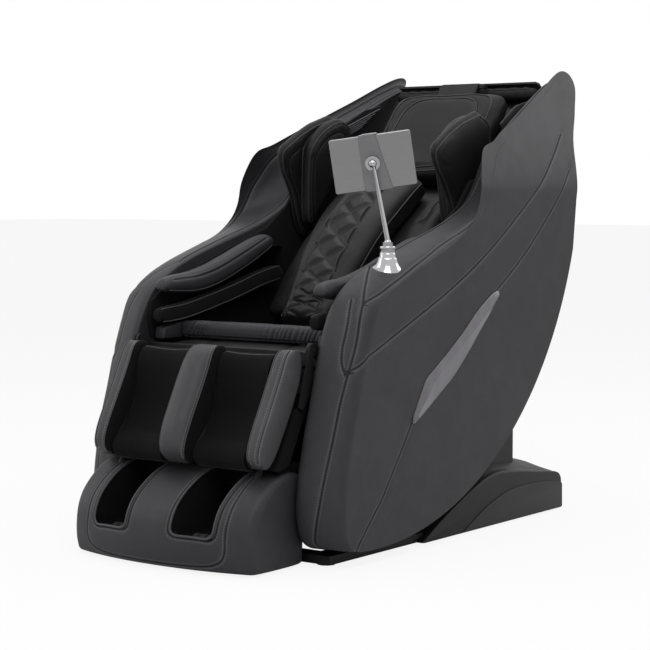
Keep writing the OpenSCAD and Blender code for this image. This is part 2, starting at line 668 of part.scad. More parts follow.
// The tray is a trough: a padded rim towards the sitter and a floor that runs into the panel's pocket
tray_low = [[-340, 521], [-290, 527], [-126, 556], [0, 586], [60, 599]];
pocket_line = concat([for (p = tray_low) p + [0, -gap]], [[100, 608], [128, 622], [128, 680], [100, 684],
    [0, 663], [-118, 620],
    [-226, 581], [-290, 551], [-340, 536]]);
pocket_x = 336;

module arm_tray(side) color(dark_leather) {
    pad([[-402, 525], [-300, 534], [-126, 571], [-15, 600], [76, 617]],
        side * (liner_x - 27), 15, 22, 21, rows = 12, cols = 16, square = 3, ends = 5);
    a = side * (liner_x - 30);
    b = side * (pocket_x - gap);
    slab(min(a, b), max(a, b), concat(tray_low, [for (i = [4 : -1 : 0]) tray_low[i] + [0, 7]]));
}

wing_outer = [[290, 1020], [202, 994], [120, 953], [83, 921], [94, 869], [137, 803], [171, 720],
    [210, 690], [300, 740], [350, 860], [345, 980]];
wing_inner = [[330, 996], [287, 1012], [222, 990], [169, 945], [154, 890], [163, 760], [180, 730],
    [240, 790], [300, 860], [345, 940]];

module shoulder_wing(side) color([0.12, 0.12, 0.13]) translate([0, 0, 700]) rotate([0, -3.5 * side, 0])
    translate([0, 0, -700]) {
    a = side * (liner_x - 24);
    b = side * liner_x;
    wing(min(a, b), max(a, b), wing_outer, 12);
    c = side * (liner_x - 59);
    d = side * (liner_x - 24 - gap);
    wing(min(c, d), max(c, d), wing_inner, 15);
}

speaker_line = [[372, 1000], [470, 1050], [548, 1066], [520, 1034], [440, 984], [392, 962]];

module speakers() color(silver) both() translate([panel_inside(960) - 2.5, 0, 960]) rotate([0, -16.5, 0])
    translate([0, 0, -960]) difference() {
        slab(-14, 0, speaker_line);
        for (i = [0 : 3])
            slab(-15, -6, [[400 + 22 * i, 978 + 13 * i], [406 + 22 * i, 982 + 13 * i],
                [416 + 26 * i, 1016 + 11 * i], [410 + 26 * i, 1012 + 11 * i]]);
    }

// ---- works inside ----------------------------------------------------------------------------------

module air_pump() color("dimgray") on_back() {
    translate([52, 20, board_z - board_t - 62]) cube([110, 130, 61.7]);
    for (y = [45, 85, 125]) translate([107, y, board_z - board_t - 82]) cylinder(h = 21, r = 12);
    translate([-162, 40, board_z - board_t - 46]) cube([90, 90, 45.7]);
}

module control_box() color(plastic) {
    translate([-180, -290, seat_z + tube_h - 62]) cube([130, 200, 62]);
    for (i = [0 : 3]) translate([-170 + 30 * i, -298, seat_z + tube_h - 40]) cube([20, 8, 12]);
}

module track_rods() color(silver) on_back() both() {
    translate([track_x, -14, track_z]) rotate([-90, 0, 0]) cylinder(h = track_len, r = track_rod_r);
    for (y = [-14, track_len - 26])
        translate([track_x - 14, y, board_z]) difference() {
            cube([28, 12, track_z - board_z + 14]);
            translate([14, -1, track_z - board_z]) rotate([-90, 0, 0])
                cylinder(h = 14, r = track_rod_r - 0.01);
        }
}

carriage_y = 40;
carriage_len = 90;
knead_z = -38;

module carriage() color("darkgray") on_back() translate([0, carriage_y, 0]) {
    difference() {
        union() {
            translate([-track_x - 18, 0, -62]) cube([2 * track_x + 36, carriage_len, 8]);
            both() translate([track_x - 18, 0, -62]) cube([36, carriage_len, 33]);
        }
        both() translate([track_x, -1, track_z]) rotate([-90, 0, 0])
            cylinder(h = carriage_len + 2, r = track_rod_r + fit);
    }
    translate([-26, 10, -54]) cube([52, carriage_len - 20, 30]);
    both() {
        for (y = [carriage_len / 2 - 22, carriage_len / 2 + 12])
            translate([knead_x - 12, y, -54]) cube([24, 10, 26]);
        translate([knead_x, carriage_len / 2 - 22, knead_z]) rotate([-90, 0, 0])
            cylinder(h = 44, r = knead_pin_r);
    }
}

module knead_arm() color("silver") on_back() translate([knead_x, carriage_y + carriage_len / 2, 0])
    difference() {
        union() {
            translate([-8, -11, knead_z]) cube([16, 22, -knead_z + 9]);
            translate([0, -11, knead_z]) rotate([-90, 0, 0]) cylinder(h = 22, r = 8);
        }
        translate([0, -12, knead_z]) rotate([-90, 0, 0]) cylinder(h = 24, r = knead_pin_r + fit);
        translate([-10, 0, 0]) rotate([0, 90, 0]) cylinder(h = 20, r = massage_axle_r + fit);
    }

module massage_roller() color("darkred") on_back() translate([knead_x, carriage_y + carriage_len / 2, 0])
    rotate([0, 90, 0]) {
        translate([0, 0, -24]) cylinder(h = 48, r = massage_axle_r);
        for (s = [-1, 1]) scale([1, 1, s]) translate([0, 0, 9]) rotate_extrude()
            polygon([[0, 0], [massage_r - 5, 0], [massage_r, 4], [massage_r, 11], [massage_r - 5, 15],
                [0, 15]]);
    }

// ---- leg rest --------------------------------------------------------------------------------------

leg_lean = 27.85;
leg_foot = [-585, 222];
function on_leg(s, n) = leg_foot + s * [sin(leg_lean), cos(leg_lean)] + n * [-cos(leg_lean), sin(leg_lean)];
shell_n = -46;
guide_n = -33;

module leg_frame() color(steel) {
    both() difference() {
        slab(calf_x + 1.5, calf_x + 1.5 + leg_plate_t, concat(
            [on_leg(186, shell_n + 0.4), on_leg(150, shell_n + 6), on_leg(150, -26)],
            [for (a = [150 : -20 : -90]) leg_axis + 15 * [cos(a), sin(a)]], [on_leg(218, shell_n + 0.4)]));
        bar(calf_x, calf_x + leg_plate_t + 3, leg_axis, leg_pin_r + fit);
    }
    difference() {
        for (b = [[60, 234], [190, calf_x + leg_plate_t]])
            slab(-b[1], b[1], [on_leg(b[0], shell_n + 0.5), on_leg(b[0] + 24, shell_n + 0.5),
                on_leg(b[0] + 24, shell_n + 3.5), on_leg(b[0], shell_n + 3.5)]);
        slab(leg_drive_x - rod_r - 1.5, leg_drive_x + rod_r + 1.5,
            [on_leg(180, shell_n), on_leg(230, shell_n),
            on_leg(230, shell_n + 5), on_leg(180, shell_n + 5)]);
    }
    both() difference() {
        strut(guide_x, on_leg(40, guide_n), on_leg(250, guide_n), guide_r + guide_t);
        strut(guide_x, on_leg(39, guide_n), on_leg(251, guide_n), guide_r + fit);
    }
    translate([leg_drive_x, 0, 0]) {
        both() slab(rod_r + 2, rod_r + 2 + bracket_t, concat(
            [on_leg(172, shell_n + 2), on_leg(210, shell_n + 2)],
            [for (a = [60 : -20 : -80]) leg_drive_pin + 10 * [cos(a), sin(a)]]));
        bar(-rod_r - bracket_t - 3, rod_r + bracket_t + 3, leg_drive_pin, drive_pin_r);
    }
}

module calf_shell() color(leather) {
    difference() {
        slab(-calf_x, calf_x, [on_leg(14, shell_n), on_leg(252, shell_n), on_leg(252, shell_n - 4),
            on_leg(240, shell_n - 12), on_leg(24, shell_n - 12), on_leg(14, shell_n - 4)]);
        translate([leg_drive_x - 24, 0, 0]) slab(0, 48, [on_leg(140, 0), on_leg(260, 0), on_leg(260, -90),
            on_leg(140, -90)]);
    }
    slabs(235, calf_x, [on_leg(14, shell_n - 2), on_leg(146, shell_n - 2), on_leg(146, -21.6),
        on_leg(-6, -20.4), on_leg(-2, -32)]);
}

module calf_pad(cx, hw, up, low, square) color(leather)
    pad([on_leg(low, 6), on_leg(60, 0), on_leg(200, 0), on_leg(270, 20)], cx, hw, up, 20,
        rows = 14, cols = 18, square = square, ends = 3.2);

pad_side_x = (calf_x + ridge_side_x) / 2;
pad_side_w = (calf_x - ridge_side_x) / 2;

module calf_liners() color(fabric_black)
    slabs(ridge_x + gap, ridge_side_x - gap, [on_leg(-12, -18), on_leg(238, -18), on_leg(240, 8),
        on_leg(226, 26), on_leg(204, 32), on_leg(180, 24), on_leg(120, 6), on_leg(60, 10), on_leg(34, 22),
        on_leg(14, 28), on_leg(-6, 22), on_leg(-16, 4)]);

// ---- foot unit -------------------------------------------------------------------------------------

foot_line = [[-474, -6], [-470, 60], [-472, 150], [-480, 184], [-496, 196], [-541, 199], [-586, 190],
    [-636, 166], [-678, 134], [-699, 104], [-708, 76], [-711, 40], [-706, 8], [-690, -11], [-620, -15],
    [-490, -14]];
foot_half = 266;
foot_floor = 50;
front_roller_at = [-628, foot_floor - 6];
rear_roller_at = [-545, foot_floor - 6];

// Station x of the foot unit: its front draws back towards the sides, and its edges round in
function foot_ring(x, inset) = [for (p = foot_line)
    let (f = (p[0] + 480) / -220, q = [p[0] + max(0, f) * 44 * pow(abs(x) / foot_half, 2.2), p[1]],
         d = q - [-575, 90])
    let (r = [-575, 90] + d * (1 - inset / norm(d))) [x, r[0], r[1]]];

module foot_shell() color(leather) difference() {
    polyhedron([each foot_ring(-foot_half, 20), each foot_ring(-foot_half + 5, 7),
        for (x = [-foot_half + 18, -210, -140, -70, 0, 70, 140, 210, foot_half - 18]) each foot_ring(x, 0),
        each foot_ring(foot_half - 5, 7), each foot_ring(foot_half, 20)], tube_faces(13, len(foot_line)));
    both() slab(well_x - foot_well_x, well_x + foot_well_x, [[-500, 300], [-500, foot_floor + 30],
        [-512, foot_floor], [-672, foot_floor], [-692, foot_floor + 14], [-730, foot_floor + 22],
        [-730, 300]]);
    for (p = [front_roller_at, rear_roller_at]) {
        both() bar(well_x - foot_well_x, well_x + foot_well_x, p, foot_roller_r + 3);
        bar(-well_x - foot_well_x - 14, well_x + foot_well_x + 14, p, foot_shaft_r + fit);
    }
    both() strut(guide_x, on_leg(-100.3, guide_n), on_leg(60, guide_n), guide_r + 0.02);
}

module foot_frame() color(silver)
    both() strut(guide_x, on_leg(-100, guide_n), on_leg(236, guide_n), guide_r);

module foot_liners() color(fabric_black) both() slab(well_x - foot_well_x + gap, well_x + foot_well_x - gap,
    [[-500.3, 150], [-500.3, foot_floor + 30], [-512.3, foot_floor + gap], [-520, foot_floor + gap],
        [-520, foot_floor + 8], [-512, foot_floor + 34], [-508, 150]]);

module foot_roller(p) color("gray") {
    bar(-well_x - foot_well_x - 13, well_x + foot_well_x + 13, p, foot_shaft_r);
    both() for (i = [-2 : 2]) bar(well_x + 19 * i - 8, well_x + 19 * i + 8, p, foot_roller_r);
}

// ---- tablet stand ----------------------------------------------------------------------------------

stand_at = [330, -240];
stand_z = 655;
pole_foot_z = stand_z + 45;
ball_at = [302, -262, 890];
tablet_turn = 33;
tablet_tilt = 8;
tablet_roll = -8;

// Frame of the tablet: origin in the ball, X along its width, Y towards the sitter
module on_tablet() {
    translate(ball_at) rotate([0, 0, tablet_turn]) rotate([tablet_tilt, 0, 0])
        rotate([0, tablet_roll, 0]) children();
}

module stand_foot() color(silver) translate([stand_at[0], stand_at[1], stand_z]) difference() {
    rotate_extrude() polygon([[0, -29], [stand_r, -29], [stand_r, 10], [stand_r - 2, 14], [20, 28],
        [19, 30], [19, 43], [17, 45], [0, 45]]);
    translate([0, 0, 10]) cylinder(h = 40, r = spigot_r + fit);
}

module stand_pole() color(silver) {
    foot = [stand_at[0], stand_at[1], pole_foot_z + gap];
    d = ball_at - foot;
    tilt = atan2(norm([d[0], d[1]]), d[2]);
    translate(foot) {
        translate([0, 0, -25]) cylinder(h = 27, r = spigot_r);
        cylinder(h = 8, r = 12);
        translate([0, 0, 8]) sphere(r = 8);
    }
    translate(foot + [0, 0, 8]) rotate([0, 0, atan2(d[1], d[0])]) rotate([0, tilt, 0])
        cylinder(h = norm(d) - 14, r1 = pole_r, r2 = pole_r - 2);
    translate(ball_at) sphere(r = ball_r);
}

module tablet_socket() color(silver) on_tablet() difference() {
    rotate([-90, 0, 0]) union() {
        translate([0, 0, -5]) cylinder(h = 19, r = ball_r + 7);
        translate([0, 0, 14]) cylinder(h = 4, r = ball_r + 3);
    }
    sphere(r = ball_r + 0.15);
    rotate([90, 0, 0]) cylinder(h = 40, r = ball_r - 0.5);
    translate([-7, -6, -60]) cube([14, 12, 60]);
}

holder_y = 14.3;
module tablet_holder() color(silver) on_tablet() difference() {
    union() {
        translate([-26, holder_y, -tablet_h / 2 - 3]) cube([52, 4, tablet_h + 6]);
        for (s = [-1, 1]) translate([-18, holder_y, s > 0 ? tablet_h / 2 + gap : -tablet_h / 2 - 3 - gap])
            cube([36, 4 + tablet_t + 4, 3]);
    }
    rotate([-90, 0, 0]) cylinder(h = 40, r = ball_r + 3 + fit);
}

module tablet_case() color([0.62, 0.62, 0.64]) on_tablet() difference() {
    translate([-tablet_w / 2, holder_y + 4 + gap, -tablet_h / 2]) cube([tablet_w, tablet_t - gap, tablet_h]);
    translate([-tablet_w / 2 + 5, holder_y + 4 + tablet_t - 1.2, -tablet_h / 2 + 5])
        cube([tablet_w - 10, 3, tablet_h - 10]);
}

module tablet_screen() color("black") on_tablet()
    translate([-tablet_w / 2 + 5, holder_y + 4 + tablet_t - 1.2, -tablet_h / 2 + 5])
        cube([tablet_w - 10, 1.2, tablet_h - 10]);

// ---- the chair -------------------------------------------------------------------------------------

translate([0, 0, datum_h]) {
    base_frame();
    base_feet();
    base_casing();
    pedestal_cover();
    power_box();
    power_switch();
    roller_pair(front_axle);  // front_rollers
    roller_pair(rear_axle);  // rear_rollers
    wheel(1);  // wheel_left
    wheel(-1);  // wheel_right
    recline_tube();
    recline_rod();
    body_frame();
    rocker_webs();
    boards();
    back_cover();
    side_panel_left();
    side_panel_right();
    blade();  // blade_left
    mirror([1, 0, 0]) blade();  // blade_right
    inner_liners();
    arm_leaf(1);  // arm_leaf_left
    arm_leaf(-1);  // arm_leaf_right
    arm_tray(1);  // arm_tray_left
    arm_tray(-1);  // arm_tray_right
    shoulder_wing(1);  // shoulder_wing_left
    shoulder_wing(-1);  // shoulder_wing_right
    speakers();
    seat_cushion();
    seat_roll();
    back_cushion();
    back_pad();
    head_pillow();
    air_pump();
    control_box();
    track_rods();
    carriage();
    knead_arm();  // knead_arm_left
    mirror([1, 0, 0]) knead_arm();  // knead_arm_right
    massage_roller();  // massage_roller_left
    mirror([1, 0, 0]) massage_roller();  // massage_roller_right
    leg_frame();
    calf_shell();
    calf_pad(pad_side_x, pad_side_w, 52, -12, 3);  // calf_pad_left
    calf_pad(0, ridge_x, 80, -16, 3.2);  // calf_pad_middle
    calf_pad(-pad_side_x, pad_side_w, 52, -12, 3);  // calf_pad_right
    calf_liners();
    leg_drive_tube();
    leg_drive_rod();
    foot_frame();
    foot_shell();
    foot_liners();
    foot_roller(front_roller_at);  // foot_roller_front
    foot_roller(rear_roller_at);  // foot_roller_rear
    stand_foot();
    stand_pole();
    tablet_socket();
    tablet_holder();
    tablet_case();
    tablet_screen();
}
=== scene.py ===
"""Looks of a full-body massage chair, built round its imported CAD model.

The sitter looks along -Y, +X is the sitter's left and +Z is up. Blender's units are metres. The chair is
drawn in millimetres over a datum that lies DATUM above the floor, as the CAD model is.
"""

import json
import logging
import math
from dataclasses import dataclass
from enum import Enum
from typing import Callable, Sequence

import bmesh
import bpy
import numpy as np
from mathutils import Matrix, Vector, noise
from mathutils.bvhtree import BVHTree

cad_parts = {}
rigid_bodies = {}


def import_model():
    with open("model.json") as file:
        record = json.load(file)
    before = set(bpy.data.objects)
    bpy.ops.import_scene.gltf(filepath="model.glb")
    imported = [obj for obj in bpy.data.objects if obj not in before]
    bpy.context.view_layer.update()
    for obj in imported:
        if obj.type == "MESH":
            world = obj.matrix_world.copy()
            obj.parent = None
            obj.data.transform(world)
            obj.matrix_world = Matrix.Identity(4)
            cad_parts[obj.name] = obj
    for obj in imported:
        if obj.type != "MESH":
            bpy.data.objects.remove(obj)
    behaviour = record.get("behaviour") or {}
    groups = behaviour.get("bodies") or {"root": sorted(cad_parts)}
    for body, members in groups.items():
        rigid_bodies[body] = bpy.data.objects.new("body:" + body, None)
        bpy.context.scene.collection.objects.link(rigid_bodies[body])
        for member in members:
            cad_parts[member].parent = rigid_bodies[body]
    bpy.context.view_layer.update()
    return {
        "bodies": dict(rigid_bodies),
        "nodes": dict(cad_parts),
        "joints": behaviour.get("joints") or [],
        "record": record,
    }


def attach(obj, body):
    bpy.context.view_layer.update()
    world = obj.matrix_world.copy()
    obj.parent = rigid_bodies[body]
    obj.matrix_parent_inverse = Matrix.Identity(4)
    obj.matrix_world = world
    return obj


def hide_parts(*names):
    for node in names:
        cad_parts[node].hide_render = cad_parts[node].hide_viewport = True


log = logging.getLogger("chair")

# Sizes that the parts share, in millimetres. X is measured from the chair's middle.
DATUM = 17.0  # the height of the CAD model's zero over the floor
HALF_W = 378.0  # a panel's outer face
INNER_X = 275.0  # its inner face
LINER_X = 264.4  # the liner inside it
PANEL_T = 103.0  # a panel's thickness
AXIS = np.array([-350.0, 950.0])  # the (y, z) that the seat shell rocks round
SHELL_R = 935.0  # the radius of the panels' lower rear edge round it
CLOTH_PRESSURE, CLOTH_FRAMES, CLOTH_QUALITY, CLOTH_MASS = 4.0, 20, 4, 0.3
CORD_SIDES = 8  # the points round a piping cord
PIPING_LIFT = 0.0006  # how far its middle stands over the surface, in metres

Curve = Callable[[np.ndarray], np.ndarray]


# ---- curves and numbers --------------------------------------------------------------------------------


def smooth(points: Sequence, count: int) -> np.ndarray:
    """Samples a smooth curve through given points.

    Args:
        points: The points, each of any dimension.
        count: The number of steps along the curve.

    Returns:
        count + 1 points on the curve.
    """
    return sample(points, np.linspace(0, len(points) - 1, count + 1))


def sample(points: Sequence, at: np.ndarray) -> np.ndarray:
    """Reads a smooth curve at given places.

    Args:
        points: The given points.
        at: Places along the curve, in numbers of points from the first.

    Returns:
        One point for each place.
    """
    p = np.asarray(points, float)
    last = len(p) - 1
    k = np.clip(np.asarray(at).astype(int), 0, last - 1)
    t = (at - k)[:, None]
    a, b, c, d = p[np.maximum(k - 1, 0)], p[k], p[k + 1], p[np.minimum(k + 2, last)]
    return 0.5 * (2 * b + (c - a) * t + (2 * a - 5 * b + 4 * c - d) * t**2 + (3 * b - a - 3 * c + d) * t**3)


def sides_of(line: np.ndarray) -> np.ndarray:
    """Gives the unit normals of a line in the (y, z) plane.

    Args:
        line: The line's points.

    Returns:
        One unit normal for each point, a quarter turn left of the line's direction.
    """
    d = np.gradient(line, axis=0)
    n = np.stack([-d[:, 1], d[:, 0]], 1)
    return n / np.linalg.norm(n, axis=1)[:, None]


def bump(x: np.ndarray, middle: float, width: float) -> np.ndarray:
    """Gives a bell of height 1 round a middle."""
    return np.exp(-(((x - middle) / width) ** 2))


def step(x: np.ndarray, low: float, high: float) -> np.ndarray:
    """Rises smoothly from 0 at low to 1 at high."""
    t = np.clip((x - low) / (high - low), 0, 1)
    return t * t * (3 - 2 * t)


def spread(count: int) -> np.ndarray:
    """Gives places from 0 to 1 that lie closer together near both ends."""
    k = np.linspace(0, 1, count)
    return 0.55 * k + 0.45 * (0.5 - 0.5 * np.cos(np.pi * k))


def oval(count: int, square: float) -> tuple[np.ndarray, np.ndarray]:
    """Gives evenly spaced points of a rounded box, from -1 to 1 both ways.

    Args:
        count: The number of points.
        square: 2 for a circle, and more for a squarer form.

    Returns:
        The points' two coordinates.
    """
    f = np.linspace(0, 2 * np.pi, 2001)
    c, s = np.cos(f), np.sin(f)
    x, y = np.sign(c) * abs(c) ** (2 / square), np.sign(s) * abs(s) ** (2 / square)
    length = np.concatenate([[0], np.cumsum(np.hypot(np.diff(x) * 2, np.diff(y)))])
    at = (np.arange(count) + 0.5) / count * length[-1]
    return np.interp(at, length, x), np.interp(at, length, y)


def ripple(points: np.ndarray, scale: float, seed: float = 0.0) -> np.ndarray:
    """Gives smooth noise from about -1 to 1 at points in millimetres.

    Args:
        points: The points.
        scale: The size of a wrinkle, in millimetres.
        seed: Shifts the pattern.

    Returns:
        One value for each point.
    """
    flat = points.reshape(-1, 3) / scale + seed
    return np.array([noise.noise(Vector(p)) for p in flat]).reshape(points.shape[:-1])


# ---- shader maths --------------------------------------------------------------------------------------

# The numbers of a Mix node's colour sockets
MIX_FROM, MIX_TO, MIX_RESULT = 6, 7, 2

# A sewn seam across, in metres: where its groove and its rolled edge end and begin, how far the stitches
# are from it, and the edge of a stitch. The groove is painted darker as painted shade, and the rolled edge
# lighter as a painted highlight. Then the stitches in a metre, and the part of a pitch that one takes.
GROOVE, ROLL, STITCH_ROW, STITCH_EDGE = (0.0034, 0.0008), (0.012, 0.0035), 0.0052, (0.0019, 0.0008)
STITCHES, STITCH_PART = 150.0, 0.64


class Wire:
    """A shader socket, with arithmetic that adds Math nodes."""

    def __init__(self, graph: "Graph", socket: bpy.types.NodeSocket) -> None:
        """Keeps the socket and the graph that it is in."""
        self.graph, self.socket = graph, socket

    def math(self, operation: str, other: "Wire | float" = 0.0, swap: bool = False) -> "Wire":
        """Adds a Math node.

        Args:
            operation: The node's operation.
            other: Its second input.
            swap: Whether this value is the second input, and the other the first.

        Returns:
            The node's output.
        """
        first, second = (other, self) if swap else (self, other)
        return self.graph.node("Math", {"operation": operation}, {0: first, 1: second})

    def __add__(self, other: "Wire | float") -> "Wire":
        """Gives this value plus another."""
        return self.math("ADD", other)

    def __sub__(self, other: "Wire | float") -> "Wire":
        """Gives this value less another."""
        return self.math("SUBTRACT", other)

    def __rsub__(self, other: float) -> "Wire":
        """Gives a number less this value."""
        return self.math("SUBTRACT", other, swap=True)

    def __mul__(self, other: "Wire | float") -> "Wire":
        """Gives this value times another."""
        return self.math("MULTIPLY", other)

    def __lt__(self, other: "Wire | float") -> "Wire":
        """Gives 1 where this value is the lower."""
        return self.math("LESS_THAN", other)

    __radd__, __rmul__ = __add__, __mul__

    def __abs__(self) -> "Wire":
        """Gives this value without its sign."""
        return self.math("ABSOLUTE")

    def rise(self, low: float, high: float) -> "Wire":
        """Rises smoothly from 0 at low to 1 at high, or falls where high is the lower.

        Args:
            low: Where the value is 0.
            high: Where the value is 1.

        Returns:
            The new value.
        """
        ends = (low, high, 0.0, 1.0) if low < high else (high, low, 1.0, 0.0)
        return self.graph.node("MapRange", {"interpolation_type": "SMOOTHSTEP"},
                               {0: self} | {i + 1: end for i, end in enumerate(ends)})


class Graph:
    """A node tree, and the one way to add nodes to it."""

    def __init__(self, tree: bpy.types.NodeTree) -> None:
        """Keeps the tree."""
        self.tree = tree

    def node(self, kind: str, settings: dict[str, object] | None = None,
             values: dict[int | str, object] | None = None, output: int | str = 0) -> Wire:
        """Adds a node.

        Args:
            kind: Its type, without ShaderNode before it.
            settings: Its settings, which are set first.
            values: The values or links of its inputs, by their names or numbers.
            output: The name or number of the output that is wanted.

        Returns:
            That output.
        """
        node = self.tree.nodes.new("ShaderNode" + kind)
        for key, value in (settings or {}).items():
            setattr(node, key, value)
        for key, value in (values or {}).items():
            self.feed(node.inputs[key], value)
        return Wire(self, node.outputs[output])

    def feed(self, socket: bpy.types.NodeSocket, value: object) -> None:
        """Links a socket to a wire, or sets its value."""
        if isinstance(value, Wire):
            self.tree.links.new(value.socket, socket)
        else:
            socket.default_value = value

    def surface(self, value: Wire) -> None:
        """Makes a shader the tree's result."""
        out = next(n for n in self.tree.nodes if n.type.startswith("OUTPUT"))
        self.feed(out.inputs["Surface"], value)


class Shader(Graph):
    """A material's node tree, with short ways to add textures to it."""

    def __init__(self, name: str) -> None:
        """Makes a material.

        Args:
            name: Its name.
        """
        self.material = bpy.data.materials.new(name)
        self.material.use_nodes = True
        super().__init__(self.material.node_tree)
        self.bsdf = self.tree.nodes["Principled BSDF"]
        self.place = self.node("TexCoord", output="Object")

    def set(self, **sockets: object) -> None:
        """Sets or links sockets of the main shader. An underscore in a name stands for a space."""
        for name, value in sockets.items():
            self.feed(self.bsdf.inputs[name.replace("_", " ")], value)

    def stretched(self, scale: Sequence[float]) -> Wire:
        """Gives the piece's coordinates, scaled along each axis."""
        return self.node("Mapping", values={"Vector": self.place, "Scale": scale})

    def noise(self, scale: float, detail: float = 3.0, at: Wire | None = None) -> Wire:
        """Adds a noise texture.

        Args:
            scale: Its scale, per metre.
            detail: Its detail.
            at: Where it is read, or None for the piece's own coordinates.

        Returns:
            Its value, round a half.
        """
        return self.node("TexNoise", values={"Vector": at or self.place, "Scale": scale, "Detail": detail})

    def cells(self, scale: float) -> Wire:
        """Adds cells like pebbled hide, and gives the distance to their edges."""
        return self.node("TexVoronoi", {"feature": "DISTANCE_TO_EDGE"},
                         {"Vector": self.place, "Scale": scale}, "Distance")

    def parts(self, vector: Wire) -> list[Wire]:
        """Gives a vector's three numbers."""
        return [self.node("SeparateXYZ", values={0: vector}, output=i) for i in range(3)]

    def seam(self) -> list[Wire]:
        """Gives the distance from the nearest seam, the place along it, and 1 near a seam."""
        return self.parts(self.node("Attribute", {"attribute_name": "seam"}, output="Vector"))

    def colour(self, base: Sequence[float], factor: Wire, other: Sequence[float]) -> None:
        """Mixes the base colour between two colours.

        Args:
            base: The colour where factor is 0.
            factor: How much of the other colour shows.
            other: The colour where factor is 1.
        """
        self.set(Base_Color=self.node("Mix", {"data_type": "RGBA"},
                                      {0: factor, MIX_FROM: (*base, 1), MIX_TO: (*other, 1)}, MIX_RESULT))

    def relief(self, height: Wire, depth: float, strength: float = 1.0) -> None:
        """Adds a bump.

        Args:
            height: The height, from 0 to about 1.
            depth: The depth of that height, in metres.
            strength: The bump's strength.
        """
        self.set(Normal=self.node("Bump", values={"Strength": strength, "Distance": depth,
                                                  "Height": height}))


class Kind(Enum):
    """The materials that the chair is made of."""

    LEATHER = "leather"
    FABRIC = "fabric"
    PLASTIC = "plastic"
    PAINT = "paint"
    CHROME = "chrome"
    BRUSHED = "brushed"
    RUBBER = "rubber"
    WOOD = "wood"
    GLASS = "glass"


@dataclass(frozen=True)
class Finish:
    """A finish: its colour and how it takes light."""

    name: str
    kind: Kind
    slot: str  # the record's material slot; this script doesn't read it
    colour: tuple[float, float, float]
    rough: float
    grain: float = 420.0  # its texture's scale, per metre
    relief: float = 0.00025  # that texture's depth, in metres
    coat: float = 0.0
    gloss: float = 0.27  # its specular level


HIDE = Finish("hide", Kind.LEATHER, "charcoal_leather", (0.026, 0.0255, 0.029), 0.48)
# The charcoal leather painted lighter for the leg rest's ridges: a painted highlight.
LIT_RIDGE_HIDE = Finish("lit_ridge_hide", Kind.LEATHER, "charcoal_leather", (0.045, 0.0445, 0.048), 0.50)
# The charcoal leather painted darker for the back's quilted pad: painted shade.
SHADED_QUILT_HIDE = Finish("shaded_quilt_hide", Kind.LEATHER, "charcoal_leather", (0.0085, 0.0083, 0.0092),
                    0.40, gloss=0.2)
DARK_HIDE = Finish("dark_hide", Kind.LEATHER, "dark_leather", (0.008, 0.0078, 0.0088),
                   0.46, 460.0, gloss=0.15)
# The frame steel painted nearly black: painted shade for the leg frame, which lies in shade.
SHADED_STEEL = Finish("shaded_steel", Kind.PAINT, "frame_steel", (0.004, 0.004, 0.0042), 0.75, 300.0, 0.00005)
PIPING = Finish("piping", Kind.LEATHER, "charcoal_leather", (0.050, 0.049, 0.054), 0.42, 700.0, 0.0001)
DARK_PIPING = Finish("dark_piping", Kind.LEATHER, "dark_leather", (0.026, 0.0255, 0.028),
                     0.42, 700.0, 0.0001)
JERSEY = Finish("jersey", Kind.FABRIC, "black_fabric", (0.0022, 0.0022, 0.0024), 0.9, 1300.0)
LINING = Finish("lining", Kind.FABRIC, "black_fabric", (0.005, 0.005, 0.0055), 0.85, 1100.0)
BLADE = Finish("blade", Kind.PLASTIC, "blade_trim", (0.112, 0.106, 0.124),
               0.30, 900.0, 0.00003, 0.35, gloss=0.5)
CASING = Finish("casing", Kind.PLASTIC, "grey_plastic", (0.008, 0.008, 0.0085), 0.5, 1500.0, 0.00006)
CASING_SIDE = Finish("casing_side", Kind.PLASTIC, "grey_plastic", (0.016, 0.0157, 0.017),
                     0.45, 1500.0, 0.00004)
BLACK_PLASTIC = Finish("black_plastic", Kind.PLASTIC, "grey_plastic", (0.012, 0.012, 0.013),
                       0.5, 1500.0, 0.00008)
STEEL = Finish("painted_steel", Kind.PAINT, "frame_steel", (0.012, 0.012, 0.0125), 0.55, 300.0, 0.00005)
BRIGHT = Finish("bright_steel", Kind.CHROME, "bright_steel", (0.46, 0.46, 0.48), 0.16)
BRUSHED = Finish("brushed", Kind.BRUSHED, "brushed", (0.26, 0.26, 0.265), 0.36)
GRILLE = Finish("grille", Kind.BRUSHED, "brushed", (0.20, 0.20, 0.21), 0.32)
RUBBER = Finish("rubber", Kind.RUBBER, "roller_rubber", (0.018, 0.018, 0.019), 0.7)
WOOD = Finish("stained_plywood", Kind.WOOD, "plywood", (0.020, 0.016, 0.013), 0.7)
GLASS = Finish("screen", Kind.GLASS, "screen_glass", (0.006, 0.006, 0.007), 0.08)


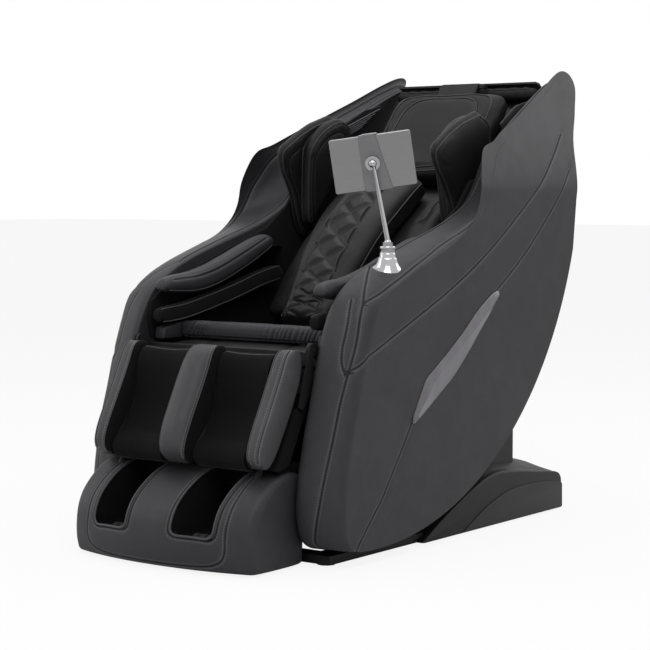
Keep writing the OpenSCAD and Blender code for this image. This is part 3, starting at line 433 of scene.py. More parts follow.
class Palette:
    """Makes each finish's material once."""

    def __init__(self) -> None:
        """Starts with no materials."""
        self.made: dict[str, bpy.types.Material] = {}

    def material(self, finish: Finish) -> bpy.types.Material:
        """Gives a finish's material.

        Args:
            finish: The finish.

        Returns:
            Its material, made on first use.
        """
        if finish.name not in self.made:
            shader = Shader(finish.name)
            shader.set(Coat_Weight=finish.coat)
            getattr(self, "_" + finish.kind.value)(shader, finish)
            self.made[finish.name] = shader.material
            log.info("material %s", finish.name)
        return self.made[finish.name]

    @staticmethod
    def _leather(s: Shader, f: Finish) -> None:
        """Pebbled hide: fine grain, faint tone and polish, and sewn seams where the mesh marks them.

        Args:
            s: The shader that is dressed.
            f: Its finish.
        """
        across, along, near = s.seam()
        d = abs(across)
        # The groove darkens the colour below as painted shade, and the rolled edge beside it lightens it as a
        # painted highlight.
        groove = d.rise(*GROOVE) * near
        rolled = d.rise(*ROLL) * near * (1 - groove)
        dashes = (along * STITCHES).math("FRACT") < STITCH_PART
        stitch = dashes * abs(d - STITCH_ROW).rise(*STITCH_EDGE) * near
        grain = s.cells(f.grain).rise(0.0, 0.22) * 0.55 + s.noise(f.grain * 2.5, 2.0) * 0.30
        broad = s.noise(9.0, 2.0)
        height = grain + broad * 0.6 + groove * -3.2 + stitch * 1.1
        s.relief(height, f.relief, 0.8)
        worn = s.noise(34.0, 4.0).rise(0.42, 0.72) * 0.05 + broad.rise(0.35, 0.7) * 0.06
        # Tone: random wear and tone, painted shade in the groove, a painted highlight on the rolled edge, and
        # the lighter stitches.
        tone = worn + rolled * 0.13 + stitch * 0.66 - groove * 0.34 + 0.31
        s.colour([c * 0.12 for c in f.colour], tone, [c * 2.6 for c in f.colour])
        s.set(Roughness=s.noise(22.0, 4.0) * 0.16 + groove * 0.25 + rolled * -0.05 + (f.rough - 0.08))
        s.set(Specular_IOR_Level=f.gloss)

    @staticmethod
    def _fabric(s: Shader, f: Finish) -> None:
        """Stretch fabric: a fine diagonal knit with a soft sheen.

        Args:
            s: The shader that is dressed.
            f: Its finish.
        """
        x, y, z = s.parts(s.place)
        a = ((x + y + z) * f.grain * 3.1).math("SINE")
        b = ((x - y + z) * f.grain * 2.3).math("SINE")
        knit = (a * b) * 0.25 + 0.5
        lint = s.noise(260.0, 4.0)
        s.relief(knit + lint * 0.5, 0.00035, 0.7)
        s.colour([c * 0.6 for c in f.colour], knit * 0.5 + lint.rise(0.3, 0.8) * 0.5,
                 [c * 1.7 for c in f.colour])
        s.set(Roughness=lint * 0.12 + (f.rough - 0.06))
        s.set(Specular_IOR_Level=0.12, Sheen_Weight=0.04, Sheen_Roughness=0.4)

    @staticmethod
    def _plastic(s: Shader, f: Finish) -> None:
        """Moulded plastic: fine spark texture, faint handling marks.

        Args:
            s: The shader that is dressed.
            f: Its finish.
        """
        spark = s.noise(f.grain, 3.0)
        marks = s.noise(18.0, 5.0, s.stretched((1.0, 2.2, 0.6)))
        s.relief(spark, f.relief, 0.6)
        s.colour([c * 0.86 for c in f.colour], marks.rise(0.3, 0.75), [c * 1.12 for c in f.colour])
        s.set(Specular_IOR_Level=f.gloss)
        s.set(Roughness=marks * 0.12 + spark * 0.05 + (f.rough - 0.08))

    @staticmethod
    def _paint(s: Shader, f: Finish) -> None:
        """Powder-coated steel: orange peel and a few rubbed places.

        Args:
            s: The shader that is dressed.
            f: Its finish.
        """
        peel = s.noise(f.grain * 3.0, 2.0)
        rub = s.noise(40.0, 5.0).rise(0.62, 0.78)
        s.relief(peel, f.relief, 0.7)
        s.set(Specular_IOR_Level=0.25)
        s.colour(f.colour, rub * 0.5, [c * 2.1 for c in f.colour])
        s.set(Roughness=peel * 0.1 + rub * 0.12 + (f.rough - 0.05))

    @staticmethod
    def _chrome(s: Shader, f: Finish) -> None:
        """Plated steel with faint smudges.

        Args:
            s: The shader that is dressed.
            f: Its finish.
        """
        smudge = s.noise(60.0, 4.0)
        s.colour([c * 0.93 for c in f.colour], smudge, f.colour)
        s.set(Roughness=smudge.rise(0.4, 0.8) * 0.10 + (f.rough - 0.03))
        s.relief(s.noise(500.0, 2.0), 0.00002, 0.5)
        s.set(Metallic=1.0)

    @staticmethod
    def _brushed(s: Shader, f: Finish) -> None:
        """Brushed aluminium: fine lines along the piece.

        Args:
            s: The shader that is dressed.
            f: Its finish.
        """
        lines = s.noise(900.0, 3.0, s.stretched((0.04, 0.04, 1.0)))
        s.colour([c * 0.88 for c in f.colour], lines, [c * 1.08 for c in f.colour])
        s.set(Roughness=lines * 0.14 + (f.rough - 0.07))
        s.relief(lines, 0.00003, 0.6)
        s.set(Metallic=0.75)

    @staticmethod
    def _rubber(s: Shader, f: Finish) -> None:
        """Moulded rubber: dull, with dust in its pores.

        Args:
            s: The shader that is dressed.
            f: Its finish.
        """
        pores = s.noise(650.0, 4.0)
        dust = s.noise(30.0, 4.0).rise(0.45, 0.8)
        s.relief(pores, 0.0001, 0.7)
        s.colour(f.colour, dust * 0.5, [c * 2.0 for c in f.colour])
        s.set(Roughness=pores * 0.12 + (f.rough - 0.06))

    @staticmethod
    def _wood(s: Shader, f: Finish) -> None:
        """Plywood: stretched grain and soft rings.

        Args:
            s: The shader that is dressed.
            f: Its finish.
        """
        grain = s.noise(60.0, 6.0, s.stretched((6.0, 0.5, 6.0)))
        s.relief(grain, 0.0003, 0.7)
        s.colour([c * 0.7 for c in f.colour], grain.rise(0.3, 0.7), [c * 1.15 for c in f.colour])
        s.set(Roughness=grain * 0.2 + (f.rough - 0.1))

    @staticmethod
    def _glass(s: Shader, f: Finish) -> None:
        """Dark screen glass with faint smears.

        Args:
            s: The shader that is dressed.
            f: Its finish.
        """
        smear = s.noise(25.0, 4.0)
        s.colour(f.colour, smear * 0.4, [c * 2.0 for c in f.colour])
        s.set(Roughness=smear.rise(0.4, 0.8) * 0.12 + f.rough)
        s.relief(s.noise(12.0, 1.0), 0.00002, 0.3)


# ---- meshes --------------------------------------------------------------------------------------------


def metres(points: np.ndarray) -> np.ndarray:
    """Turns points over the datum, in millimetres, into points over the floor, in metres."""
    return (np.asarray(points, float) + (0, 0, DATUM)) / 1000


def piece_of(name: str, build: bmesh.types.BMesh) -> bpy.types.Object:
    """Turns a bmesh into a shaded object at the origin.

    Args:
        name: The object's name.
        build: The bmesh, which is freed.

    Returns:
        The object.
    """
    bmesh.ops.recalc_face_normals(build, faces=build.faces)
    mesh = bpy.data.meshes.new(name)
    build.to_mesh(mesh)
    build.free()
    piece = bpy.data.objects.new(name, mesh)
    bpy.context.scene.collection.objects.link(piece)
    mesh.shade_smooth()
    return piece


def loft(name: str, rings: np.ndarray) -> bpy.types.Object:
    """Skins rings of points, closing both ends.

    Args:
        name: The new object's name.
        rings: Loops of points in millimetres over the datum, as an array (rings, points, 3).

    Returns:
        The new object.
    """
    build = bmesh.new()
    count, cols = rings.shape[:2]
    verts = [build.verts.new(p) for p in metres(rings.reshape(-1, 3))]
    for i in range(count - 1):
        for j in range(cols):
            k = (j + 1) % cols
            build.faces.new((verts[i * cols + j], verts[(i + 1) * cols + j],
                             verts[(i + 1) * cols + k], verts[i * cols + k]))
    for i in (0, count - 1):
        loop = verts[i * cols:(i + 1) * cols]
        middle = build.verts.new(sum((v.co for v in loop), Vector()) / cols)
        for j in range(cols):
            build.faces.new((loop[j], loop[(j + 1) % cols], middle))
    return piece_of(name, build)


def pad_rings(path: Sequence, middle: float, half: float, up: float, down: float, rows: int = 90,
              cols: int = 96, square: float = 3.2, ends: float = 4.0, width: Curve | None = None,
              depth: Curve | None = None, dip: Callable | None = None, thin: float = 0.12) -> np.ndarray:
    """Gives the rings of a crowned, upholstered pad that follows a line in the (y, z) plane.

    Args:
        path: The line's given points.
        middle: The pad's middle in x.
        half: Half its width.
        up: Its depth on the line's left.
        down: Its depth on the line's right.
        rows: The number of rings.
        cols: The number of points in a ring.
        square: How square its section is.
        ends: How square its ends are.
        width: The part of the width that it has along the line.
        depth: The part of the depth that it has along the line.
        dip: How deep its upper face is drawn in at (place along, x).
        thin: The least part of its depth, at its ends.

    Returns:
        The rings, in millimetres.
    """
    s = spread(rows)
    line = sample(path, s * (len(path) - 1))
    n = sides_of(line)
    e = np.maximum(thin, (1 - abs(2 * s - 1) ** ends) ** (1 / ends))[:, None]
    w = (0.65 * half + 0.35 * half * e) * (1 if width is None else width(s)[:, None])
    cx, cy = oval(cols, square)
    x = w * cx[None, :]
    h = np.where(cy > 0, up, down)[None, :] * e * cy[None, :] * (1 if depth is None else depth(s)[:, None])
    if dip is not None:
        h = h - np.where(cy > 0, 1, 0)[None, :] * e * dip(s[:, None] + 0 * x, x)
    at = line[:, None, :] + n[:, None, :] * h[..., None]
    return np.concatenate([(middle - x)[..., None], at], 2)


def at_x(x: float | np.ndarray, line: np.ndarray) -> np.ndarray:
    """Puts points of the (y, z) plane at an x, or each at its own."""
    return np.column_stack([np.full(len(line), x), line])


def draw_in(line: np.ndarray, middle: np.ndarray, by: float) -> np.ndarray:
    """Draws an outline in towards its middle.

    Args:
        line: The outline's points.
        middle: Its middle.
        by: How far each point moves.

    Returns:
        The smaller outline.
    """
    d = line - middle
    return middle + d * (1 - by / np.linalg.norm(d, axis=1))[:, None]


def rounded_ends(low: float, high: float, radius: float, steps: int,
                 between: Sequence[float] = ()) -> list[tuple[float, float]]:
    """Gives the rings that a block with rounded ends needs along x.

    Args:
        low: The block's lower end.
        high: Its upper end.
        radius: The radius of the rounding.
        steps: The number of rings in each rounding.
        between: Where more rings are.

    Returns:
        The x of each ring, and how far its outline draws in.
    """
    turn = np.linspace(0, math.pi / 2, steps)
    end = [(radius * (1 - math.sin(a)), radius * (1 - math.cos(a))) for a in turn]
    return ([(low + x, inset) for x, inset in reversed(end)] + [(x, 0.0) for x in between]
            + [(high - x, inset) for x, inset in end])


def push(piece: bpy.types.Object, amount: Callable[[np.ndarray, np.ndarray], np.ndarray]) -> None:
    """Moves a mesh's points along their normals.

    Args:
        piece: The object.
        amount: Gives how far each point moves, in millimetres, from the points over the datum in
            millimetres and their normals.
    """
    no = normals_of(piece.data)
    reshape(piece, points_of(piece.data) + no * amount(millimetres(piece), no)[:, None] / 1000)


def points_of(mesh: bpy.types.Mesh) -> np.ndarray:
    """Gives a mesh's points, in metres."""
    co = np.empty(len(mesh.vertices) * 3)
    mesh.vertices.foreach_get("co", co)
    return co.reshape(-1, 3)


def millimetres(piece: bpy.types.Object) -> np.ndarray:
    """Gives an object's points over the datum, in millimetres."""
    return points_of(piece.data) * 1000 - (0, 0, DATUM)


def reshape(piece: bpy.types.Object, points: np.ndarray) -> None:
    """Moves an object's points to the given places, in metres."""
    piece.data.vertices.foreach_set("co", points.ravel())
    piece.data.update()


def normals_of(mesh: bpy.types.Mesh) -> np.ndarray:
    """Gives the normals at a mesh's points."""
    no = np.empty(len(mesh.vertices) * 3, np.float32)
    mesh.vertex_normals.foreach_get("vector", no)
    return no.reshape(-1, 3).astype(float)


def sew(piece: bpy.types.Object, lines: Sequence[np.ndarray], pull: float = 1.5, width: float = 9.0,
        reach: float = 0.014) -> None:
    """Marks seams on a mesh, and draws the surface in along them.

    Args:
        piece: The object.
        lines: The seams, each an array of points near the surface, in metres.
        pull: How deep the surface is drawn in at a seam, in millimetres.
        width: How wide that hollow is, in millimetres.
        reach: How far from a seam the mesh carries its distance, in metres.
    """
    mesh = piece.data
    co, no = points_of(mesh), normals_of(mesh)
    best = np.full(len(co), 1e9)
    field = np.zeros((len(co), 3))
    for line in lines:
        a, b = line[:-1], line[1:]
        lengths = np.linalg.norm(b - a, axis=1)
        starts = np.concatenate([[0], np.cumsum(lengths)[:-1]])
        low, high = line.min(0) - 3 * width / 1000, line.max(0) + 3 * width / 1000
        near = np.where(((co > low) & (co < high)).all(1))[0]
        for part in np.array_split(near, max(1, len(near) // 4000)):
            p, d = co[part, None], (b - a)[None]
            t = np.clip(((p - a) * d).sum(2) / (lengths**2 + 1e-12), 0, 1)
            away = p - (a + t[..., None] * d)
            far = np.linalg.norm(away, axis=2)
            k = far.argmin(1)
            row = np.arange(len(part))
            off, tangent = away[row, k], (b - a)[k] / (lengths[k, None] + 1e-12)
            side = np.sign((np.cross(tangent, no[part]) * off).sum(1))
            closer = far[row, k] < best[part]
            hit = part[closer]
            best[hit] = far[row, k][closer]
            field[hit, 0] = (side * far[row, k])[closer]
            field[hit, 1] = (starts[k] + t[row, k] * lengths[k])[closer]
            field[hit, 2] = (far[row, k] < reach)[closer]
    if "seam" not in mesh.attributes:
        mesh.attributes.new("seam", "FLOAT_VECTOR", "POINT")
    mesh.attributes["seam"].data.foreach_set("vector", field.ravel())
    reshape(piece, co - no * (pull / 1000 * bump(best * 1000, 0, width))[:, None])


def lay(piece: bpy.types.Object, line: np.ndarray, lift: float = 0.0) -> np.ndarray:
    """Drops a line onto a mesh.

    Args:
        piece: The object.
        line: Points near its surface, in metres.
        lift: How far over the surface the line ends up, in metres.

    Returns:
        The line on the surface.
    """
    tree = BVHTree.FromPolygons([v.co for v in piece.data.vertices],
                                [p.vertices for p in piece.data.polygons])
    out = []
    for p in line:
        at, normal, _, _ = tree.find_nearest(Vector(p))
        out.append(at + normal * lift)
    return np.array(out)


def cord_mesh(name: str, line: np.ndarray, radius: float, closed: bool = False) -> bpy.types.Object:
    """Makes a thin round cord, such as piping, along a line.

    Args:
        name: The new object's name.
        line: Its points, in metres.
        radius: Its radius, in metres.
        closed: Whether the line is a loop.

    Returns:
        The new object.
    """
    p = np.asarray(line, float)
    if closed:
        tangent = np.roll(p, -1, 0) - np.roll(p, 1, 0)
    else:
        tangent = np.gradient(p, axis=0)
    tangent /= np.linalg.norm(tangent, axis=1)[:, None] + 1e-12
    up = np.array([0.0, 0.0, 1.0]) if abs(tangent[0][2]) < 0.9 else np.array([1.0, 0.0, 0.0])
    build = bmesh.new()
    rings = []
    for at, t in zip(p, tangent):
        up = up - t * up.dot(t)
        up /= np.linalg.norm(up)
        side = np.cross(t, up)
        rings.append([build.verts.new(at + radius * (math.cos(a) * up + math.sin(a) * side))
                      for a in np.linspace(0, 2 * math.pi, CORD_SIDES, endpoint=False)])
    count = len(rings)
    for i in range(count if closed else count - 1):
        one, two = rings[i], rings[(i + 1) % count]
        for j in range(CORD_SIDES):
            k = (j + 1) % CORD_SIDES
            build.faces.new((one[j], two[j], two[k], one[k]))
    if not closed:
        build.faces.new(rings[0])
        build.faces.new(list(reversed(rings[-1])))
    return piece_of(name, build)


def join(main: bpy.types.Object, *others: bpy.types.Object) -> bpy.types.Object:
    """Joins objects into one, with their materials.

    Args:
        main: The object that the others join.
        others: The others.

    Returns:
        The first object.
    """
    select_only(main)
    for other in others:
        other.select_set(True)
    bpy.ops.object.join()
    main.select_set(False)
    return main


def apply_modifiers(piece: bpy.types.Object) -> None:
    """Applies every modifier of an object to its mesh."""
    select_only(piece)
    for name in [modifier.name for modifier in piece.modifiers]:
        bpy.ops.object.modifier_apply(modifier=name)


def crease(piece: bpy.types.Object, degrees: float) -> bpy.types.Object:
    """Shades an object smooth, but for its sharp edges.

    Args:
        piece: The object.
        degrees: The turn from which an edge is sharp.

    Returns:
        The same object.
    """
    piece.data.shade_smooth()
    select_only(piece)
    bpy.ops.object.shade_smooth_by_angle(angle=math.radians(degrees))
    return piece


def rounded(piece: bpy.types.Object, width: float, segments: int = 3,
            angle: float = 30.0) -> bpy.types.Object:
    """Rounds an object's edges.

    Args:
        piece: The object.
        width: How wide the rounding is, in millimetres.
        segments: Its number of steps.
        angle: The sharpness from which an edge is rounded, in degrees.

    Returns:
        The same object.
    """
    edge = piece.modifiers.new("round", "BEVEL")
    edge.width, edge.segments, edge.limit_method = width / 1000, segments, "ANGLE"
    edge.angle_limit = math.radians(angle)
    apply_modifiers(piece)
    return crease(piece, 35)


def select_only(piece: bpy.types.Object) -> None:
    """Selects one object and makes it active."""
    bpy.ops.object.select_all(action="DESELECT")
    piece.select_set(True)
    bpy.context.view_layer.objects.active = piece


def prism(name: str, x0: float, x1: float, outline: Sequence) -> bpy.types.Object:
    """Extrudes an outline of the (y, z) plane along x.

    Args:
        name: The new object's name.
        x0: The x of its first face, in millimetres.
        x1: The x of its second face.
        outline: Its (y, z) points, in millimetres over the datum.

    Returns:
        The new object.
    """
    bpy.ops.object.select_all(action="DESELECT")
    bpy.ops.mesh.primitive_circle_add(vertices=len(outline), fill_type="NGON", calc_uvs=False)
    piece = bpy.context.active_object
    piece.name = name
    reshape(piece, metres(at_x(x0, np.asarray(outline, float))))
    bpy.ops.object.mode_set(mode="EDIT")
    bpy.ops.mesh.select_all(action="SELECT")
    bpy.ops.mesh.extrude_region_move(TRANSFORM_OT_translate={"value": ((x1 - x0) / 1000, 0, 0)})
    bpy.ops.mesh.select_all(action="SELECT")
    bpy.ops.mesh.normals_make_consistent(inside=False)
    bpy.ops.object.mode_set(mode="OBJECT")
    piece.data.shade_smooth()
    return piece


def turned(name: str, profile: Sequence[tuple[float, float]], steps: int) -> bpy.types.Object:
    """Turns a profile round the z axis.

    Args:
        name: The new object's name.
        profile: Its (radius, z) points in millimetres, from the axis and back to it.
        steps: The number of faces round it.

    Returns:
        The new object, round the frame's middle.
    """
    bpy.ops.object.select_all(action="DESELECT")
    bpy.ops.mesh.primitive_circle_add(vertices=len(profile), fill_type="NOTHING", calc_uvs=False)
    piece = bpy.context.active_object
    piece.name = name
    reshape(piece, np.array([(r, 0, z) for r, z in profile]) / 1000)
    bpy.ops.object.mode_set(mode="EDIT")
    bpy.ops.mesh.select_all(action="SELECT")
    bpy.ops.mesh.spin(steps=steps, angle=2 * math.pi, center=(0, 0, 0), axis=(0, 0, 1))
    bpy.ops.mesh.select_all(action="SELECT")
    bpy.ops.mesh.remove_doubles(threshold=0.000001)
    bpy.ops.mesh.delete_loose()
    bpy.ops.mesh.select_all(action="SELECT")
    bpy.ops.mesh.normals_make_consistent(inside=False)
    bpy.ops.object.mode_set(mode="OBJECT")
    piece.data.shade_smooth()
    return piece


def carve(piece: bpy.types.Object, *cutters: bpy.types.Object) -> None:
    """Cuts closed objects out of a piece. The cut faces keep the cutters' materials.

    Args:
        piece: The piece.
        cutters: The objects that are cut out of it, which are deleted.
    """
    for cutter in cutters:
        cut = piece.modifiers.new("cut", "BOOLEAN")
        cut.object, cut.operation, cut.solver, cut.material_mode = cutter, "DIFFERENCE", "EXACT", "TRANSFER"
        apply_modifiers(piece)
        bpy.data.objects.remove(cutter)
    crease(piece, 38)


def inflate(piece: bpy.types.Object, cap: float, voxel: float) -> None:
    """Swells an upholstered piece with a cloth simulation, so that its cover pulls and wrinkles.

    Args:
        piece: The object, a closed mesh.
        cap: The furthest that a point may move, in metres.
        voxel: The size of the cloth's mesh, in metres.
    """
    remesh = piece.modifiers.new("remesh", "REMESH")
    remesh.mode, remesh.voxel_size = "VOXEL", voxel
    apply_modifiers(piece)
    before = points_of(piece.data)
    cloth = piece.modifiers.new("cloth", "CLOTH")
    settings = cloth.settings
    settings.use_pressure, settings.uniform_pressure_force = True, CLOTH_PRESSURE
    settings.effector_weights.gravity = 0.0
    settings.quality, settings.mass = CLOTH_QUALITY, CLOTH_MASS
    cloth.point_cache.frame_start, cloth.point_cache.frame_end = 1, CLOTH_FRAMES
    for frame in range(1, CLOTH_FRAMES + 1):
        bpy.context.scene.frame_set(frame)
    apply_modifiers(piece)
    bpy.context.scene.frame_set(1)
    move = points_of(piece.data) - before
    length = np.linalg.norm(move, axis=1)[:, None]
    reshape(piece, before + move * np.minimum(1, cap / np.maximum(length, 1e-9)))
    piece.modifiers.new("fine", "SUBSURF").levels = 1
    apply_modifiers(piece)
    piece.data.shade_smooth()
    log.info("cloth on %s: moved up to %.1f mm", piece.name, float(length.max()) * 1000)


# ---- sub-assemblies ------------------------------------------------------------------------------------


@dataclass
class Assembly:
    """A part of the chair whose pieces ride on one body."""

    palette: Palette
    body: str

    def place(self, piece: bpy.types.Object, finish: Finish, *nodes: str,
              fill: float | None = None) -> bpy.types.Object:
        """Finishes a piece and ties it to the frame.

        Args:
            piece: The piece.
            finish: Its finish, where it has none yet.
            nodes: The CAD nodes that it stands for.
            fill: How full it is, where it is padded. It is not used.

        Returns:
            The piece.
        """
        if not piece.data.materials:
            piece.data.materials.append(self.palette.material(finish))
        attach(piece, self.body)
        if nodes:
            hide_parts(*nodes)
        log.info("%s: %d points, rides on %s", piece.name, len(piece.data.vertices), self.body)
        return piece

    def painted(self, piece: bpy.types.Object, finish: Finish) -> bpy.types.Object:
        """Gives a piece a finish, before it is joined or cut.

        Args:
            piece: The piece.
            finish: Its finish.

        Returns:
            The piece.
        """
        piece.data.materials.clear()
        piece.data.materials.append(self.palette.material(finish))
        return piece

    def piped(self, piece: bpy.types.Object, lines: Sequence[tuple[np.ndarray, bool]], radius: float,
              finish: Finish = PIPING) -> bpy.types.Object:
        """Joins piping to a piece.

        Args:
            piece: The piece, which has its finish.
            lines: The piping's lines, in metres, each with whether it is a loop.
            radius: The piping's radius, in millimetres.
            finish: Its finish.

        Returns:
            The piece.
        """
        cords = [self.painted(cord_mesh("piping", lay(piece, line, PIPING_LIFT), radius / 1000, loop), finish)
                 for line, loop in lines]
        return join(piece, *cords)


@dataclass
class Sided(Assembly):
    """A part that the chair has on both sides."""

    side: int = 1  # 1 on the sitter's left, and -1 on the right

    @property
    def name(self) -> str:
        """Gives the side's name, as the CAD nodes' names end."""
        return "left" if self.side > 0 else "right"


# Pairs of points along a panel's inner and outer edge, from the front of the floor over the arm and the
# shoulder to the back of the head
EDGE_PAIRS = np.array([
    [[-440, 21], [-415, 17]], [[-482, 28], [-446, 27]], [[-512, 55], [-462, 60]],
    [[-523, 110], [-466, 120]], [[-516, 185], [-458, 190]], [[-497, 273], [-441, 272]],
    [[-471, 360], [-414, 355]], [[-452, 430], [-390, 434]], [[-425, 510], [-361, 507]],
    [[-385, 577], [-338, 562]], [[-325, 622], [-290, 598]], [[-240, 660], [-226, 628]],
    [[-102, 703], [-118, 668]], [[0, 732], [-22, 706]], [[85, 760], [44, 748]],
    [[165, 798], [79, 793]], [[215, 848], [98, 866]], [[252, 905], [132, 929]],
    [[302, 950], [198, 953]], [[404, 1006], [325, 1007]], [[500, 1052], [482, 1072]],
    [[596, 1096], [602, 1126]], [[668, 1120], [672, 1149]], [[697, 1115], [712, 1142]],
    [[690, 1092], [714, 1106]], [[648, 1032], [658, 1036]], [[582, 936], [592, 945]],
    [[548, 800], [560, 806]]], float)
PANEL_MIDDLE = np.array([50.0, 500.0])

# The outline of the slot in a panel that a forearm slides into
POCKET = [(-340, 520.7), (-290, 526.7), (-126, 555.7), (0, 585.7), (60, 598.7), (100, 608), (128, 622),
          (128, 680), (100, 684), (0, 663), (-118, 620), (-226, 581), (-290, 551), (-340, 536)]


def panel_face(z: np.ndarray) -> np.ndarray:
    """Gives the x of a panel's outer face at a height."""
    return HALF_W - 110 * (np.maximum(0, z - 830) / 310) ** 1.4


def panel_inside(z: np.ndarray) -> np.ndarray:
    """Gives the x of a panel's inner face at a height."""
    return np.minimum(INNER_X, panel_face(z) - PANEL_T + 48 * np.clip((z - 760) / 330, 0, 1))


@dataclass
class SidePanel(Sided):
    """An upholstered side panel with its seams and its blade."""

    slot_depth: float = 336.0 - INNER_X
    # The blade's section: how far towards its ridge, and how far out
    blade_steps: tuple[tuple[float, float], ...] = ((0.0, 0.0), (0.0, 1.6), (0.10, 2.4), (0.14, 2.2),
                                                    (1.0, 6.9))

    def edge(self, at: np.ndarray, angle: np.ndarray) -> np.ndarray:
        """Gives points on the panel's rounded edge.

        Args:
            at: Places along the edge, in numbers of pairs from the first.
            angle: Places across it, from 0 at the inner face to 90 degrees at the outer face.

        Returns:
            The points, in millimetres over the datum.
        """
        turn = np.radians(angle)
        inner, outer = sample(EDGE_PAIRS[:, 0], at), sample(EDGE_PAIRS[:, 1], at)
        q = inner + (outer - inner) * (1 - np.cos(turn))[:, None]
        low, high = panel_inside(q[:, 1]), panel_face(q[:, 1])
        return at_x(self.side * (low + (high - low) * np.sin(turn)), q)

    def along(self, pairs: Sequence[tuple[float, float]], count: int = 80) -> np.ndarray:
        """Gives a line on the rounded edge through given (place, angle) pairs, in metres."""
        track = smooth(pairs, count)
        return metres(self.edge(track[:, 0], track[:, 1]))

    def on_face(self, points: Sequence[tuple[float, float]], count: int = 90) -> np.ndarray:
        """Gives a line on the outer face through given (y, z) points, in metres."""
        q = smooth(points, count)
        return metres(at_x(self.side * panel_face(q[:, 1]), q))

    def rings(self) -> np.ndarray:
        """Gives the panel's rings, from the middle of its inner face to that of its outer face."""
        arc = np.radians(np.linspace(73, -3, 110))
        lows, highs = (np.stack([AXIS[0] + r * np.sin(arc), AXIS[1] - r * np.cos(arc)], 1)
                       for r in (SHELL_R - 10, SHELL_R))
        inner = np.concatenate([smooth(EDGE_PAIRS[:, 0], 290), lows])
        outer = np.concatenate([smooth(EDGE_PAIRS[:, 1], 290), highs])
        levels = [(0.0, 0.0, 0.0, k) for k in np.linspace(0.04, 0.96, 26)]
        levels += [(0.14 * (1 - math.cos(a)), 0.01 * (1 - math.cos(a)), 9 * (1 - math.sin(a)), 1.0)
                   for a in np.radians(np.linspace(0, 90, 6)[:-1])]
        levels += [(math.sin(a), 1 - math.cos(a), 0.0, 1.0) for a in np.radians(np.linspace(8.05, 90, 34))]
        levels += [(1.0, 1.0, 0.0, k) for k in np.linspace(0.992, 0.03, 78)]
        out = []
        for part, blend, inset, scale in levels:
            d = inner + (outer - inner) * blend - PANEL_MIDDLE
            q = PANEL_MIDDLE + d * (scale - inset / np.linalg.norm(d, axis=1))[:, None]
            low, high = panel_inside(q[:, 1]), panel_face(q[:, 1])
            out.append(at_x(self.side * (low + (high - low) * part), q))
        return np.array(out)

    def seams(self) -> list[np.ndarray]:
        """Gives the panel's sewn seams, in metres."""
        faces = [
            [(-382, 457), (-349, 469), (-188, 533), (-60, 585), (73, 648), (212, 730), (358, 829),
             (459, 907), (547, 978)],
            [(167, 583), (262, 642), (360, 715), (461, 804), (538, 882)],
            [(-207, 290), (-248, 231), (-288, 178), (-328, 125), (-368, 85), (-407, 45), (-433, 15)]]
        edges = [
            [(9.05, 48), (8.45, 52), (7.65, 56), (7.0, 53), (6.5, 50), (5.9, 47), (5.05, 46), (4.15, 41),
             (3.3, 36), (2.65, 31), (1.55, 23), (0.8, 30), (0.4, 60)],
            [(10.8, 10), (10.1, 27), (9.05, 48)],
            [(9.1, 28), (8.45, 34), (7.95, 36), (7.5, 36), (7.1, 40), (6.7, 51)],
            [(9.05, 48), (9.65, 65), (10.7, 74), (11.55, 69), (12.7, 58), (13.7, 66), (14.5, 70),
             (15.2, 70), (16.0, 64), (17.5, 56), (19, 50), (20.5, 48), (22.3, 44), (23.0, 30)],
            [(6.9, 51), (7.05, 70), (7.28, 90)]]
        return [self.on_face(f) for f in faces] + [self.along(e) for e in edges]

    def build(self) -> None:
        """Makes the panel and its blade."""
        panel = self.painted(loft("panel_" + self.name, self.rings()), HIDE)
        slot = prism("slot", self.side * (INNER_X - 5), self.side * (INNER_X + self.slot_depth), POCKET)
        carve(panel, self.painted(slot, LINING))
        push(panel, lambda p, n: 0.5 * ripple(p, 130.0, 3.0) * step(abs(n[:, 0]), 0.4, 0.8))
        sew(panel, self.seams(), pull=2.4, width=8.0)
        crest = [(self.along([(10.8, 9), (12, 9), (14, 9), (15.5, 9), (17, 10), (18.5, 12), (20, 12),
                              (22.3, 14), (23.2, 30)], 240), False)]
        self.piped(panel, crest, 1.7)
        self.place(panel, HIDE, "side_panel_" + self.name, fill=0.8)
        self.blade()

    def blade(self) -> None:
        """Makes the two-faceted trim blade on the panel's outer face."""
        outline = smooth([(-207, 290), (-204, 304), (-190, 327), (-170, 359), (-149, 388), (-110, 412),
                          (-54, 446), (12, 490), (70, 534), (125, 566), (158, 580), (172, 577), (168, 564),
                          (153, 550), (125, 522), (80, 483), (35, 442), (-32, 387), (-97, 347), (-161, 308),
                          (-198, 288), (-207, 290)], 240)[:-1]
        ridge = smooth([(-200, 297), (-148, 350), (-115, 385), (-45, 430), (34, 479), (102, 524),
                        (164, 570)], 90)
        near = np.array([ridge[np.linalg.norm(ridge - p, axis=1).argmin()] for p in outline])
        build = bmesh.new()
        rows = []
        for toward, out in self.blade_steps:
            q = outline + (near - outline) * toward
            rows.append([build.verts.new(p) for p in metres(at_x(self.side * (HALF_W + 0.05 + out), q))])
        for one, two in zip(rows, rows[1:]):
            for j in range(len(one)):
                k = (j + 1) % len(one)
                build.faces.new((one[j], one[k], two[k], two[j]))
        build.faces.new(rows[0])
        bmesh.ops.remove_doubles(build, verts=build.verts, dist=0.0002)
        blade = crease(piece_of("blade_trim_" + self.name, build), 8)
        self.place(blade, BLADE, "blade_" + self.name)


